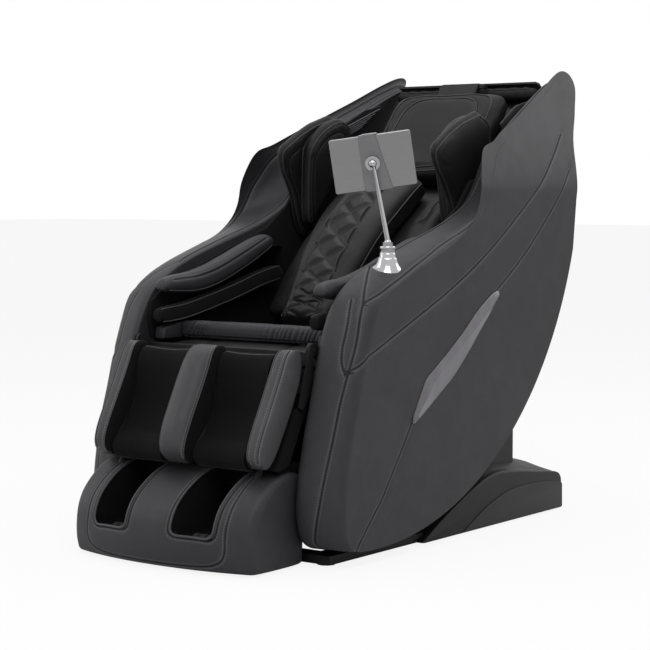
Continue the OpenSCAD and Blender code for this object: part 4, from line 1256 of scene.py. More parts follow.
@dataclass
class Liners(Assembly):
    """The fabric liners inside both panels."""

    thickness: float = 10.0
    gap: float = 0.3  # between a liner and its panel

    def build(self) -> None:
        """Makes the liners."""
        outline = [(-380, 416), (-398, 520), (-390, 560), (-330, 600), (-100, 680), (60, 730), (150, 790),
                   (206, 852), (240, 857), (555, 857), (480, 680), (300, 480), (120, 416)]
        sheets = []
        for side in (1, -1):
            face = INNER_X - self.gap
            sheet = rounded(prism("liner", side * (face - self.thickness), side * face, outline), 3.0)
            slot = prism("slot", side * (INNER_X - 12), side * (INNER_X + 2), POCKET)
            carve(self.painted(sheet, LINING), self.painted(slot, LINING))
            sheets.append(sheet)
        liners = join(*sheets)
        liners.name = "inner_linings"
        self.place(liners, LINING, "inner_liners")


@dataclass
class ArmUnit(Sided):
    """The airbag flap over an arm slot and the tray under it."""

    flap_half: float = 24.2
    tray_half: float = 14.8

    def build(self) -> None:
        """Makes the flap and the tray."""
        self.flap()
        self.tray()

    def line(self, path: np.ndarray, x: float, off: float, trim: int) -> np.ndarray:
        """Gives a line beside a pad's path, in metres.

        Args:
            path: The path's points.
            x: How far the line is inside the liner.
            off: How far it is to the path's left.
            trim: How many points are left out at both ends.

        Returns:
            The line.
        """
        return metres(at_x(self.side * (LINER_X - x), path + sides_of(path) * off))[trim:-trim]

    def flap(self) -> None:
        """Makes the flap, with a seam along its top and piping along its lower edge."""
        path = [(-388, 592), (-281, 593), (-204, 606), (-122, 633), (-40, 665), (38, 697)]
        middle = self.side * (LINER_X - self.flap_half - 0.6)
        leaf = loft("arm_flap_" + self.name, pad_rings(path, middle, self.flap_half, 43, 21, rows=110,
                                                       cols=72, square=2.7, ends=2.6))
        inflate(leaf, cap=0.002, voxel=0.005)
        push(leaf, lambda p, n: 0.7 * ripple(p, 46.0, 5.0))
        self.painted(leaf, HIDE)
        line = smooth(path, 80)
        sew(leaf, [lay(leaf, self.line(line, 48, 24, 6))], pull=1.6, width=7.0)
        self.piped(leaf, [(self.line(line, 48, -12, 3), False)], 1.6)
        self.place(leaf, HIDE, "arm_leaf_" + self.name, fill=0.7)

    def tray(self) -> None:
        """Makes the tray: a padded lip, and a floor that runs into the slot."""
        path = [(-402, 525), (-300, 534), (-126, 571), (-15, 600), (76, 617)]
        middle = self.side * (LINER_X - 27)
        tray = loft("arm_tray_pad_" + self.name, pad_rings(path, middle, self.tray_half, 21.5, 20.5,
                                                           rows=110, cols=56, square=3, ends=5))
        push(tray, lambda p, n: 0.5 * ripple(p, 38.0, 9.0))
        low = [(-340, 521), (-290, 527), (-126, 556), (0, 586), (60, 599)]
        floor = prism("tray_floor", self.side * (LINER_X - 30), self.side * 335.7,
                      low + [(y, z + 7) for y, z in reversed(low)])
        self.painted(rounded(floor, 1.5), LINING)
        self.painted(tray, LINING)
        line = smooth(path, 90)
        self.piped(tray, [(self.line(line, 39, 17, 2), False), (self.line(line, 39, -16, 4), False)], 1.9)
        join(tray, floor)
        self.place(tray, DARK_HIDE, "arm_tray_" + self.name, fill=0.7)


@dataclass
class ShoulderWing(Sided):
    """The two airbag wings beside a sitter's shoulder."""

    lean: float = math.radians(3.5)  # how far both lean in towards the head
    pivot: float = 700.0  # the height that they lean from
    reach: float = 160.0  # about half a wing's height, over which its rounding is measured
    faces: tuple[float, float] = (0.10, 0.92)  # where the piping is, between its two faces

    def leaf(self, outline: Sequence, x0: float, x1: float, soft: float, name: str) -> bpy.types.Object:
        """Makes one wing, swollen between two faces.

        Args:
            outline: Its outline in the (y, z) plane.
            x0: Its face towards the sitter.
            x1: Its face towards the panel.
            soft: How far its outline draws in at both faces.
            name: The piece's name.

        Returns:
            The wing.
        """
        line = smooth([*outline, outline[0]], 150)[:-1]
        middle = (line.max(0) + line.min(0)) / 2
        turn = np.linspace(-math.pi / 2, math.pi / 2, 17)
        levels = [(0.0, k) for k in np.linspace(0.05, 0.9, 12)]
        levels += [(0.5 + 0.5 * math.sin(a), 1 - (1 - math.cos(a)) * soft / self.reach) for a in turn]
        levels += [(1.0, k) for k in np.linspace(0.9, 0.05, 12)]
        rings = [at_x(x0 + (x1 - x0) * part, middle + (line - middle) * scale) for part, scale in levels]
        wing = loft(name, np.array(rings))
        lean = -self.side * self.lean
        x, y, z = (millimetres(wing) - (0, 0, self.pivot)).T
        reshape(wing, metres(np.column_stack([x * math.cos(lean) + z * math.sin(lean), y,
                                              -x * math.sin(lean) + z * math.cos(lean) + self.pivot])))
        return wing

    def leaning(self, x: float, line: np.ndarray) -> np.ndarray:
        """Puts (y, z) points on a leaning face whose x is given at the pivot's height, in metres."""
        return metres(at_x(self.side * x - np.sin(self.side * self.lean) * (line[:, 1] - self.pivot), line))

    def build(self) -> None:
        """Makes both wings of a side."""
        outer = [(290, 1020), (202, 994), (120, 953), (83, 921), (94, 869), (137, 803), (171, 720),
                 (210, 690), (300, 740), (350, 860), (345, 980)]
        inner = [(330, 996), (287, 1012), (222, 990), (169, 945), (154, 890), (163, 760), (180, 730),
                 (240, 790), (300, 860), (345, 940)]
        leaves = []
        for outline, x0, x1, soft, which in ((outer, LINER_X - 24, LINER_X, 12, "outer"),
                                             (inner, LINER_X - 59, LINER_X - 24.3, 15, "inner")):
            wing = self.leaf(outline, self.side * x0, self.side * x1, soft, "wing_" + which)
            inflate(wing, cap=0.004, voxel=0.0055)
            push(wing, lambda p, n: 1.1 * ripple(p, 60.0, 2.0) - 0.6)
            self.painted(wing, DARK_HIDE)
            line = smooth([*outline, outline[0]], 220)[:-1]
            middle = (line.max(0) + line.min(0)) / 2
            near = middle + (line - middle) * (1 - 3 / self.reach)
            loops = [(self.leaning(x0 + (x1 - x0) * part, near), True) for part in self.faces]
            sew(wing, [lay(wing, self.leaning(x0, middle + (line - middle) * 0.80))], pull=1.6, width=9.0)
            self.piped(wing, loops, 1.9, DARK_PIPING)
            leaves.append(wing)
        wings = join(*leaves)
        wings.name = "shoulder_wings_" + self.name
        self.place(wings, DARK_HIDE, "shoulder_wing_" + self.name, fill=0.7)


@dataclass
class Seat(Assembly):
    """The seat cushion and the padded roll across its front."""

    board: float = 425.6  # the height of the board under the cushion
    half: float = 249.0
    roll_half: float = 238.0
    roll_at: tuple[float, float] = (-300.0, 488.0)
    roll_size: tuple[float, float] = (26.5, 22.6)

    def build(self) -> None:
        """Makes the cushion and the roll."""
        path = [(y, self.board + 17) for y in (-383, -200, 8)]
        cushion = loft("seat_pad", pad_rings(path, 0, self.half, 19, 16.5, rows=90, cols=150, square=5,
                                             ends=6))
        inflate(cushion, cap=0.004, voxel=0.008)
        self.painted(cushion, DARK_HIDE)
        lines = [metres(smooth([(x, -360, self.board + 36), (x * 1.02, -180, self.board + 37),
                                (x, -15, self.board + 36)], 60)) for x in (-120, 120)]
        sew(cushion, [lay(cushion, line) for line in lines], pull=4.0, width=10.0)
        self.place(cushion, DARK_HIDE, "seat_cushion", fill=0.7)
        self.roll()

    def roll(self) -> None:
        """Makes the roll, with gathered pleats near both ends, and its two gussets."""
        x = np.concatenate([np.linspace(-237.5, -150, 150), np.linspace(-149, 149, 130),
                            np.linspace(150, 237.5, 150)])
        cy, cz = oval(72, 3.2)
        size = np.maximum(0.3, (1 - (abs(x) / self.roll_half) ** 30)) ** 0.5
        band = bump(x, -165, 30) + 0.8 * step(x, 15, 70) * (1 - step(x, 222, 236))
        pleat = (abs(np.sin(x / 4.6 + 0.7 * np.sin(x / 13))) ** 0.6 - 1.0) * (band * 3.2 + 0.35)
        (y, z), (deep, high) = self.roll_at, self.roll_size
        rings = [np.column_stack([xx + 9 * cz * min(1.0, (self.roll_half - abs(xx)) / 30),
                                  y + cy * (deep * k + p - 0.6), z + cz * (high * k + p * 0.9)])
                 for xx, k, p in zip(x, size, pleat)]
        roll = self.painted(loft("seat_front_roll", np.array(rings)), HIDE)
        push(roll, lambda p, n: 0.9 * ripple(p, 40.0, 1.0) - 0.5)
        low = metres(smooth([(-215, -324, 474), (0, -324, 474), (215, -324, 474)], 90))
        sew(roll, [low], pull=1.2, width=5.0)
        for side in (1, -1):
            gusset = prism("gusset", side * 232.5, side * (LINER_X - 0.6),
                           [(-384, 466), (-380, 496), (-300, 511), (-276, 506), (-276, 466)])
            self.painted(rounded(gusset, 6.0, 4), HIDE)
            flap = [(side * 233.5, -366, 492), (side * 248, -340, 500), (side * 262, -318, 505)]
            join(roll, self.piped(gusset, [(metres(smooth(flap, 30)), False)], 1.6))
        self.place(roll, HIDE, "seat_roll", fill=0.8)


# The back pad's line, from the seat up over the back to under the pillow
PAD_LINE = np.array([(-124, 488), (-80, 518), (-36, 572), (24, 648), (98, 724), (190, 790),
                     (262, 832)], float)

# Where the massage track starts, and how steeply it climbs
TRACK_START = np.array([129.0, 517.0])
TRACK_ANGLE = math.radians(43.25)


@dataclass
class Back(Assembly):
    """The back cushion and the quilted pad that hangs over it."""

    half: float = 199.0
    pad_half: float = 114.0
    strip: float = 46.0  # half the width of the quilted strip
    pitch: float = 52.0  # the height of one of its diamonds
    quilt_depth: float = 6.5

    def build(self) -> None:
        """Makes the cushion and the pad."""
        self.cushion()
        self.pad()

    def cushion(self) -> None:
        """Makes the wide cushion behind the pad, with folds running down its sides."""
        n = sides_of(PAD_LINE)
        front = np.concatenate([PAD_LINE[1:6] - n[1:6] * 23,
                                [(268, 806), (326, 816), (374, 828), (424, 868), (484, 936), (543, 1002),
                                 (598, 1066)]])
        along = np.array([math.cos(TRACK_ANGLE), math.sin(TRACK_ANGLE)])
        off = np.array([-along[1], along[0]])
        d = front - TRACK_START
        rear = (TRACK_START + np.maximum(d @ along, -95)[:, None] * along
                + np.minimum(31.3, d @ off - 38)[:, None] * off)
        thick = np.linalg.norm(front - rear, axis=1) / 2
        places = np.linspace(0, 1, len(front))
        piece = loft("back_rest", pad_rings((front + rear) / 2, 0, self.half, 1, 1, rows=150, cols=130,
                                            square=7, ends=8, depth=lambda s: np.interp(s, places, thick)))
        inflate(piece, cap=0.003, voxel=0.009)
        push(piece, self.folds)
        self.painted(piece, DARK_HIDE)
        lines = [metres(smooth([(x, 150, 784), (x, 230, 804), (x, 300, 816), (x, 360, 830)], 50))
                 for x in (-150, 150)]
        sew(piece, [lay(piece, line) for line in lines], pull=2.0, width=8.0)
        join(piece, self.top_roll())
        self.place(piece, DARK_HIDE, "back_cushion", fill=0.6)

    @staticmethod
    def folds(p: np.ndarray, _: np.ndarray) -> np.ndarray:
        """Gives the folds down both sides of the cushion, at points in millimetres."""
        wave = 2.2 * np.sin(p[:, 0] / 9 + 2.5 * ripple(p, 90.0, 8.0))
        where = step(abs(p[:, 0]), 110, 150) * step(p[:, 2], 690, 760) * (1 - step(p[:, 2], 850, 900))
        return wave * where - 1.0

    def top_roll(self) -> bpy.types.Object:
        """Makes the gathered roll across the top of the back."""
        x = np.linspace(-225, 225, 260)
        cy, cz = oval(56, 2.6)
        size = np.maximum(0.25, (1 - (abs(x) / 226) ** 24)) ** 0.5
        fold = np.sin(x / 5.5 + 2.0 * np.sin(x / 37)) * (0.35 + 0.65 * step(abs(x), 90, 190)) * 1.2
        rings = [np.column_stack([np.full(len(cy), xx), 614.5 + cy * (14.5 * k + 0.5 * f - 0.8),
                                  1088.5 + cz * (18.5 * k + f - 0.8)]) for xx, k, f in zip(x, size, fold)]
        roll = self.painted(loft("roll", np.array(rings)), DARK_HIDE)
        seam = metres(smooth([(-215, 600, 1100), (0, 600, 1100), (215, 600, 1100)], 60))
        sew(roll, [seam], pull=1.5, width=6.0)
        return roll

    def quilt(self, s: np.ndarray, x: np.ndarray) -> np.ndarray:
        """Gives how deep the pad's face is drawn in.

        Args:
            s: Places along the pad, from 0 to 1.
            x: Places across it, in millimetres.

        Returns:
            The depths, in millimetres.
        """
        run, w = 460 * s / self.pitch, x / (2 * self.strip)
        lattice = np.maximum(abs(np.cos(np.pi * (run + w))), abs(np.cos(np.pi * (run - w))))
        border = bump(abs(x), self.strip + 3, 3.2)
        diamonds = np.where(abs(x) < self.strip, self.quilt_depth * lattice**9 * (1 - border), 0)
        return diamonds + self.quilt_depth * border

    @staticmethod
    def taper(s: np.ndarray) -> np.ndarray:
        """Gives the part of its width that the pad has along its line."""
        return np.minimum(1, 0.64 + 0.5 * s)

    def pad(self) -> None:
        """Makes the hanging pad: a quilted strip between two plain bands."""
        strip = self.strip
        pad = loft("back_pad_quilted", pad_rings(PAD_LINE, 0, self.pad_half, 61, 21, rows=250, cols=220,
                                                 square=3.2, ends=5, width=self.taper, dip=self.quilt))
        push(pad, lambda p, n: 1.2 * ripple(p, 52.0, 4.0) * step(abs(p[:, 0]), strip, strip + 15) - 0.5)
        # The pad takes the charcoal leather painted darker, as painted shade.
        self.painted(pad, SHADED_QUILT_HIDE)
        line = smooth(PAD_LINE, 120)
        edge = (self.pad_half - 5) * self.taper(np.linspace(0, 1, len(line)))
        seams, cords = [], []
        for side in (1, -1):
            for x, up, store in ((strip + 3, 58, seams), (edge, 26, cords)):
                store.append(lay(pad, metres(at_x(side * x, line + sides_of(line) * up))[5:-5]))
        sew(pad, seams, pull=0.5, width=4.0)
        self.piped(pad, [(cord, False) for cord in cords], 1.7)
        self.place(pad, SHADED_QUILT_HIDE, "back_pad", fill=0.6)


@dataclass
class Pillow(Assembly):
    """The head pillow that hangs from the top of the back."""

    half: float = 182.0
    path: tuple[tuple[float, float], ...] = ((352, 846), (402, 892), (460, 958), (518, 1024), (562, 1078))

    def loop(self, half: float, low: float, high: float, square: float) -> np.ndarray:
        """Gives a rounded loop in front of the pillow's face, in metres.

        Args:
            half: Half its width.
            low: The place along the pillow where it starts, from 0 to 1.
            high: The place where it ends.
            square: How square it is.

        Returns:
            The loop.
        """
        cx, cy = oval(160, square)
        q = sample(self.path, ((low + high) / 2 + cy * (high - low) / 2) * (len(self.path) - 1))
        return metres(at_x(cx * half, q + sides_of(smooth(self.path, 100))[50] * 46))

    def build(self) -> None:
        """Makes the pillow and its hinge flap."""
        piece = loft("head_cushion", pad_rings(self.path, 0, self.half, 41, 25, rows=120, cols=130, square=4,
                                               ends=4))
        inflate(piece, cap=0.004, voxel=0.007)
        push(piece, lambda p, n: ripple(p, 70.0, 6.0) - 0.6)
        self.painted(piece, DARK_HIDE)
        inner, outer = (lay(piece, self.loop(*shape)) for shape in ((122, 0.13, 0.88, 3.4),
                                                                    (160, 0.06, 0.95, 4.5)))
        sew(piece, [np.vstack([inner, inner[:1]])], pull=3.0, width=8.0)
        self.piped(piece, [(inner, True), (outer, True)], 2.0, DARK_PIPING)
        flap = prism("flap", -60, 60, [(524, 1052), (534, 1040), (595, 1104), (598, 1112), (595, 1119),
                                       (584, 1120)])
        join(piece, self.painted(rounded(flap, 2.0), DARK_HIDE))
        self.place(piece, DARK_HIDE, "head_pillow", fill=0.7)


@dataclass
class Speakers(Assembly):
    """The two finned speaker grilles by the sitter's head."""

    fins: int = 5
    thickness: float = 4.0
    fin_half: float = 2.6

    def grille(self, side: int) -> bpy.types.Object:
        """Makes the grille of one side, against its panel.

        Args:
            side: 1 for the left, or -1 for the right.

        Returns:
            The grille.
        """
        outline = [(372, 1000), (470, 1050), (548, 1066), (520, 1034), (440, 984), (392, 962)]
        plate = self.painted(rounded(prism("speaker", 0, self.thickness, outline), 2.0), BLACK_PLASTIC)
        fins = []
        for k in np.linspace(0, 1, self.fins):
            a, b = np.array([386 + 6 * k, 968 + 31 * k]), np.array([470 + 66 * k, 1006 + 50 * k])
            along = (b - a) / np.linalg.norm(b - a)
            n = np.array([-along[1], along[0]]) * self.fin_half
            fin = prism("fin", self.thickness - 0.4, 9.5, [a - n, b - n * 0.6, b + n * 0.6, a + n])
            fins.append(self.painted(rounded(fin, 1.1), GRILLE))
        whole = join(plate, *fins)
        co = millimetres(whole)
        reshape(whole, metres(at_x(side * (panel_inside(co[:, 2]) - 4.2 - co[:, 0]), co[:, 1:])))
        if side > 0:
            whole.data.flip_normals()
        return whole

    def build(self) -> None:
        """Makes both grilles."""
        grilles = join(self.grille(1), self.grille(-1))
        grilles.name = "speaker_grilles"
        self.place(grilles, GRILLE, "speakers")


# The leg rest's lean, the (y, z) of its foot, and the ways up it and out of its face
LEG_LEAN = math.radians(27.85)
LEG_FOOT = np.array([-585.0, 222.0])
LEG_UP = np.array([math.sin(LEG_LEAN), math.cos(LEG_LEAN)])
LEG_OUT = np.array([-math.cos(LEG_LEAN), math.sin(LEG_LEAN)])


def on_leg(s: float | np.ndarray, n: float | np.ndarray) -> np.ndarray:
    """Gives the (y, z) of places on the leg rest: s up it, and n out of its face."""
    return LEG_FOOT + np.multiply.outer(s, LEG_UP) + np.multiply.outer(n, LEG_OUT)


@dataclass
class LegRest(Assembly):
    """The three leather ridges of the leg rest and the two fabric wells between them."""

    side_ridge: tuple[float, float] = (198.0, 260.0)
    middle_half: float = 48.0

    def ridge(self, name: str, middle: float, half: float, up: float, low: float,
              inner: dict[int, float], outer: dict[int, float]) -> None:
        """Makes one ridge, in leather with the wells' fabric on the flanks towards them.

        Args:
            name: The end of its CAD node's name.
            middle: Its middle in x.
            half: Half its width.
            up: How far its crest stands out.
            low: How far down the leg rest it starts.
            inner: The sides (1 or -1) that are fabric, each with the part of the half width where that
                starts.
            outer: The sides with only a seam, each with its place.
        """
        path = [on_leg(low, 6), on_leg(60, 0), on_leg(200, 0), on_leg(270, 20)]
        cols, square = 120, 2.7
        rings = pad_rings(path, middle, half - 0.4, up - 1, 19.5, rows=120, cols=cols, square=square,
                          ends=2.5, thin=0.1)
        # The ridges take the charcoal leather painted lighter, as painted light.
        piece = self.painted(loft("calf_ridge_" + name, rings), LIT_RIDGE_HIDE)
        piece.data.materials.append(self.palette.material(JERSEY))
        cx, cy = oval(cols, square)
        covered = np.zeros(cols, bool)
        lines = []
        for side, part in (inner | outer).items():
            beyond = (-cx * side > part) & (cy > -0.7)
            at = max(np.where(beyond)[0], key=lambda j: cy[j])
            lines.append(metres(rings[5:-5, at]))
            if side in inner:
                covered |= beyond
        index = np.zeros(len(piece.data.polygons), int)
        index[:(len(rings) - 1) * cols] = np.tile(covered & np.roll(covered, -1), len(rings) - 1)
        piece.data.polygons.foreach_set("material_index", index)
        push(piece, lambda p, n: 0.6 * ripple(p, 60.0, 7.0) - 0.4)
        sew(piece, lines, pull=1.2, width=6.0)
        self.piped(piece, [(line, False) for line in lines], 1.9)
        self.place(piece, HIDE, "calf_pad_" + name, fill=0.8)

    def build(self) -> None:
        """Makes the ridges and the wells."""
        low, high = self.side_ridge
        self.ridge("left", (high + low) / 2, (high - low) / 2, 52, -12, {-1: 0.5}, {1: 0.45})
        self.ridge("middle", 0, self.middle_half, 80, -16, {1: 0.84, -1: 0.84}, {})
        self.ridge("right", -(high + low) / 2, (high - low) / 2, 52, -12, {1: 0.5}, {-1: 0.45})
        liner = join(self.well(1), self.well(-1))
        liner.name = "calf_wells"
        self.place(liner, JERSEY, "calf_liners", fill=0.5)

    def well(self, side: int) -> bpy.types.Object:
        """Makes the cupped fabric well of one side, with piping along its top.

        Args:
            side: 1 for the left, or -1 for the right.

        Returns:
            The well.
        """
        outline = [(-15, 4), (-6, 21), (14, 27), (34, 21), (60, 9), (120, 5), (180, 25), (214, 36), (246, 34),
                   (262, 16)]
        front = smooth([on_leg(s, n) for s, n in outline], 120)
        base = on_leg(np.linspace(260, -14, 121), np.full(121, -17))
        rings = []
        for x in np.linspace(self.middle_half + 0.4, self.side_ridge[0] - 0.4, 60):
            cup = ((x - 123) / 75) ** 2
            face = front + LEG_OUT * (9.0 * cup * (1 - cup * 0.3) - 7.0)
            rings.append(at_x(side * x, np.concatenate([face, base])))
        well = self.painted(loft("well", np.array(rings)), JERSEY)
        push(well, lambda p, n: 1.6 * ripple(p, 75.0, 11.0) - 0.9)
        x = np.linspace(52, 194, 60)
        off = abs((x - 123) / 70)
        top = metres(at_x(side * x, on_leg(258 - 10 * (1 - off**2.4), 30 - 9 * (1 - off**2))))
        return self.piped(well, [(top, False)], 1.7, DARK_PIPING)


# The foot unit's outline in the (y, z) plane, from the foot of its back over its top to the floor
FOOT_LINE = np.array([(-474, -6), (-470, 60), (-472, 150), (-480, 184), (-496, 196), (-541, 199),
                      (-586, 190), (-636, 166), (-678, 134), (-699, 104), (-708, 76), (-711, 40),
                      (-706, 8), (-690, -11), (-620, -15), (-490, -14)], float)


@dataclass
class FootUnit(Assembly):
    """The padded foot unit with its two roller wells."""

    half: float = 266.0
    rounding: float = 18.0
    well: tuple[float, float] = (66.0, 178.0)
    rim_radius: float = 2.8

    def rings(self) -> np.ndarray:
        """Gives the unit's rings, from its right side to its left."""
        line = smooth([*FOOT_LINE, FOOT_LINE[0]], 260)[:-1]
        front = np.maximum(0, (line[:, 0] + 480) / -220)
        out = []
        for x, inset in rounded_ends(-self.half, self.half, self.rounding, 9, np.linspace(-246, 246, 124)):
            bow = front * 44 * (abs(x) / self.half) ** 2.2
            q = draw_in(line + np.column_stack([bow, 0 * bow]), np.array([-575.0, 90.0]), inset)
            out.append(at_x(x, q))
        return np.array(out)

    def cutter(self, side: int) -> bpy.types.Object:
        """Makes the solid that carves out one well: rounded in plan and at its floor.

        Args:
            side: 1 for the left, or -1 for the right.

        Returns:
            The solid.
        """
        outline = [(-500, 260), (-500, 84), (-504, 62), (-516, 51), (-560, 50), (-640, 50), (-676, 51),
                   (-692, 60), (-700, 66), (-740, 72), (-740, 160), (-740, 260)]
        line = smooth([*outline, outline[0]], 300)[:-1]
        rings = [at_x(side * x, draw_in(line, np.array([-600.0, 150.0]), inset))
                 for x, inset in rounded_ends(*self.well, self.rounding, 9)]
        return self.painted(loft("well_cut", np.array(rings)), JERSEY)

    def build(self) -> None:
        """Makes the shell with its wells, their piping and their linings."""
        shell = self.painted(loft("foot_shell_pad", self.rings()), HIDE)
        carve(shell, self.cutter(1), self.cutter(-1))
        loops = rims_of(shell)
        log.info("foot wells: %d rims", len(loops))
        seam = []
        for side in (1, -1):
            pts = [(side * 196, -500, 196), (side * 200, -560, 194), (side * 204, -620, 172),
                   (side * 206, -662, 130), (side * 207, -686, 80), (side * 205, -690, 30),
                   (side * 180, -696, 4), (side * 120, -704, -4)]
            seam.append(lay(shell, metres(smooth(pts, 140))))
        seam.append(lay(shell, metres(smooth([(120, -704, -4), (0, -708, -5), (-120, -704, -4)], 90))))
        for loop in loops:
            middle = loop.mean(0)
            seam.append(lay(shell, middle + (np.vstack([loop, loop[:1]]) - middle) * (1.13, 1.045, 1.045)))
        sew(shell, seam, pull=2.0, width=6.0)
        radius = self.rim_radius / 1000
        join(shell, *(self.painted(cord_mesh("rim_piping", loop, radius, True), PIPING) for loop in loops))
        self.place(shell, HIDE, "foot_shell", fill=0.9)
        linings = []
        for side in (1, -1):
            sheet = prism("lining", side * (self.well[0] + 0.5), side * (self.well[1] - 0.5),
                          [(-500.3, 150), (-500.3, 80), (-512.3, 50.3), (-520, 50.3), (-520, 58),
                           (-512, 84), (-508, 150)])
            linings.append(self.painted(rounded(sheet, 2.5), JERSEY))
        linings = join(*linings)
        linings.name = "foot_well_linings"
        self.place(linings, JERSEY, "foot_liners")


def rims_of(piece: bpy.types.Object) -> list[np.ndarray]:
    """Finds the loops where an object's first material meets another.

    Args:
        piece: The object.

    Returns:
        The loops, smoothed, in metres.
    """
    build = bmesh.new()
    build.from_mesh(piece.data)
    edges = [e for e in build.edges if len(e.link_faces) == 2
             and (e.link_faces[0].material_index == 0) != (e.link_faces[1].material_index == 0)]
    joined: dict[int, list[int]] = {}
    for e in edges:
        a, b = (v.index for v in e.verts)
        joined.setdefault(a, []).append(b)
        joined.setdefault(b, []).append(a)
    build.verts.ensure_lookup_table()
    loops, left = [], set(joined)
    while left:
        start = min(left)
        chain, at = [start], start
        left.discard(start)
        while True:
            following = [k for k in joined[at] if k in left]
            if not following:
                break
            at = following[0]
            left.discard(at)
            chain.append(at)
        if len(chain) > 20:
            p = np.array([build.verts[i].co[:] for i in chain])
            length = np.concatenate([[0], np.cumsum(np.linalg.norm(np.diff(p, axis=0), axis=1))])
            at = np.linspace(0, length[-1], int(length[-1] / 0.004))[:-1]
            p = np.column_stack([np.interp(at, length, p[:, i]) for i in range(3)])
            for _ in range(9):
                p = (np.roll(p, 1, 0) + 2 * p + np.roll(p, -1, 0)) / 4
            loops.append(p)
    build.free()
    return loops


@dataclass
class Base(Assembly):
    """The moulded casing on the floor behind the chair."""

    half: float = 342.0
    rounding: float = 8.0
    floor: float = 4 - DATUM
    cover_thickness: float = 4.0
    roller_radius: float = 952.15  # from the rocking axis to the front axle
    roller_angle: float = math.radians(16)
    roller_x: tuple[float, float] = (174.0, 226.0)

    def shell(self) -> bpy.types.Object:
        """Makes the casing's crowned outside."""
        line = [(-104, self.floor, 0), (-97, self.floor + 8, 0), (-16, 36, 0), (73, 73, 0.2), (160, 103, 0.6),
                (208, 114, 0.9), (245, 118, 1), (286, 116, 1), (360, 108, 1), (440, 97, 0.85),
                (502, 90, 0.55), (540, 83, 0.2), (556, 72, 0.05), (562, 50, 0), (562, self.floor, 0)]
        top = smooth(line, 130)
        crown = [(-342, 0), (-332, 2), (-308, 14), (-272, 31), (-212, 38), (212, 38), (272, 31), (308, 14),
                 (332, 2), (342, 0)]
        middle = np.array([230.0, 20.0])
        rings = []
        for x, inset in rounded_ends(-self.half, self.half, self.rounding, 6, np.linspace(-333, 333, 90)):
            lift = np.interp(x, *zip(*crown)) * np.clip(top[:, 2], 0, 1)
            q = top[:, :2] + np.column_stack([0 * lift, lift])
            e = draw_in(q, middle, inset)
            e[:, 1] = np.where(q[:, 1] > 0, e[:, 1], q[:, 1])
            rings.append(at_x(x, e))
        return self.painted(loft("base_cover", np.array(rings)), CASING)

    def cuts(self) -> list[bpy.types.Object]:
        """Makes the solids that hollow the casing and clear what passes through it."""
        low = self.floor - 1
        hollow = [(-82, low), (-16, 28), (73, 65), (160, 95), (208, 106), (245, 110), (286, 108), (360, 100),
                  (440, 89), (502, 82), (540, 75), (557, 60), (557, low)]
        y = AXIS[0] + self.roller_radius * math.sin(self.roller_angle)
        cuts = [prism("hollow", -338, 338, hollow),
                prism("runners", -323, 323, [(-460, -20), (20, -20), (20, 8), (-460, 8)]),
                prism("pedestal", -300.5, 300.5, [(129.5, 0), (375.5, 0), (375.5, 300), (129.5, 300)]),
                prism("power", 120, 240, [(542, 12), (572, 12), (572, 64), (542, 64)])]
        cuts += [prism("rollers", *(side * x for x in self.roller_x),
                       [(y - 30, 0), (y + 30, 0), (y + 30, 90), (y - 30, 90)]) for side in (1, -1)]
        return [self.painted(cut, CASING) for cut in cuts]

    def cover(self, side: int) -> bpy.types.Object:
        """Makes the flat cover on one side of the casing.

        Args:
            side: 1 for the left, or -1 for the right.

        Returns:
            The cover.
        """
        arch = smooth([(70, self.floor + 2), (110, 8), (170, 34), (240, 56), (310, 68), (390, 70), (470, 67),
                       (540, 58), (557, 50)], 70)
        face = self.half - 1.5
        cover = prism("side_cover", side * face, side * (face + self.cover_thickness),
                      [*arch, (558, self.floor + 2)])
        return self.painted(rounded(cover, 1.6), CASING_SIDE)

    def build(self) -> None:
        """Makes the casing: a crowned lid with a groove along both sides, and two flat side covers."""
        casing = self.shell()
        carve(casing, *self.cuts())
        groove = [lay(casing, metres(smooth([(side * 330, y, z) for y, z in (
            (-90, -2), (-16, 38), (73, 76), (160, 105), (245, 119), (360, 110), (440, 98), (540, 84))], 120)))
            for side in (1, -1)]
        sew(casing, groove, pull=1.8, width=4.5, reach=0.012)
        self.place(join(casing, self.cover(1), self.cover(-1)), CASING, "base_casing")


@dataclass
class Stand(Assembly):
    """The turned foot of the tablet stand."""

    at: tuple[float, float, float] = (330.0, -240.0, 655.0)
    segments: int = 72
    lip_height: float = 34.0  # its lower part leans over this height, to sit on the sloping arm
    slope: tuple[float, float] = (-0.27, 0.34)

    def build(self) -> None:
        """Makes the foot with its steps and lip."""
        profile = [(0, -34), (35, -34), (36.6, -32), (36.8, -15), (37, -9), (36.2, -6.4), (33.6, -4.6),
                   (29.6, -1), (25.6, 5.4), (23.0, 12.6), (21.8, 18), (21.2, 19.4), (19.0, 20.6), (18.8, 28),
                   (17.8, 29), (17.8, 36), (18.8, 37), (18.8, 42.6), (17.4, 44.8), (0, 45)]
        foot = turned("stand_base", profile, self.segments)
        co = points_of(foot.data) * 1000
        co[:, 2] += (1 - np.clip(co[:, 2] / self.lip_height, 0, 1)) * (co[:, :2] @ self.slope)
        reshape(foot, metres(co + self.at))
        rounded(foot, 0.9, 3, 22.0)
        self.place(foot, BRIGHT, "stand_foot")


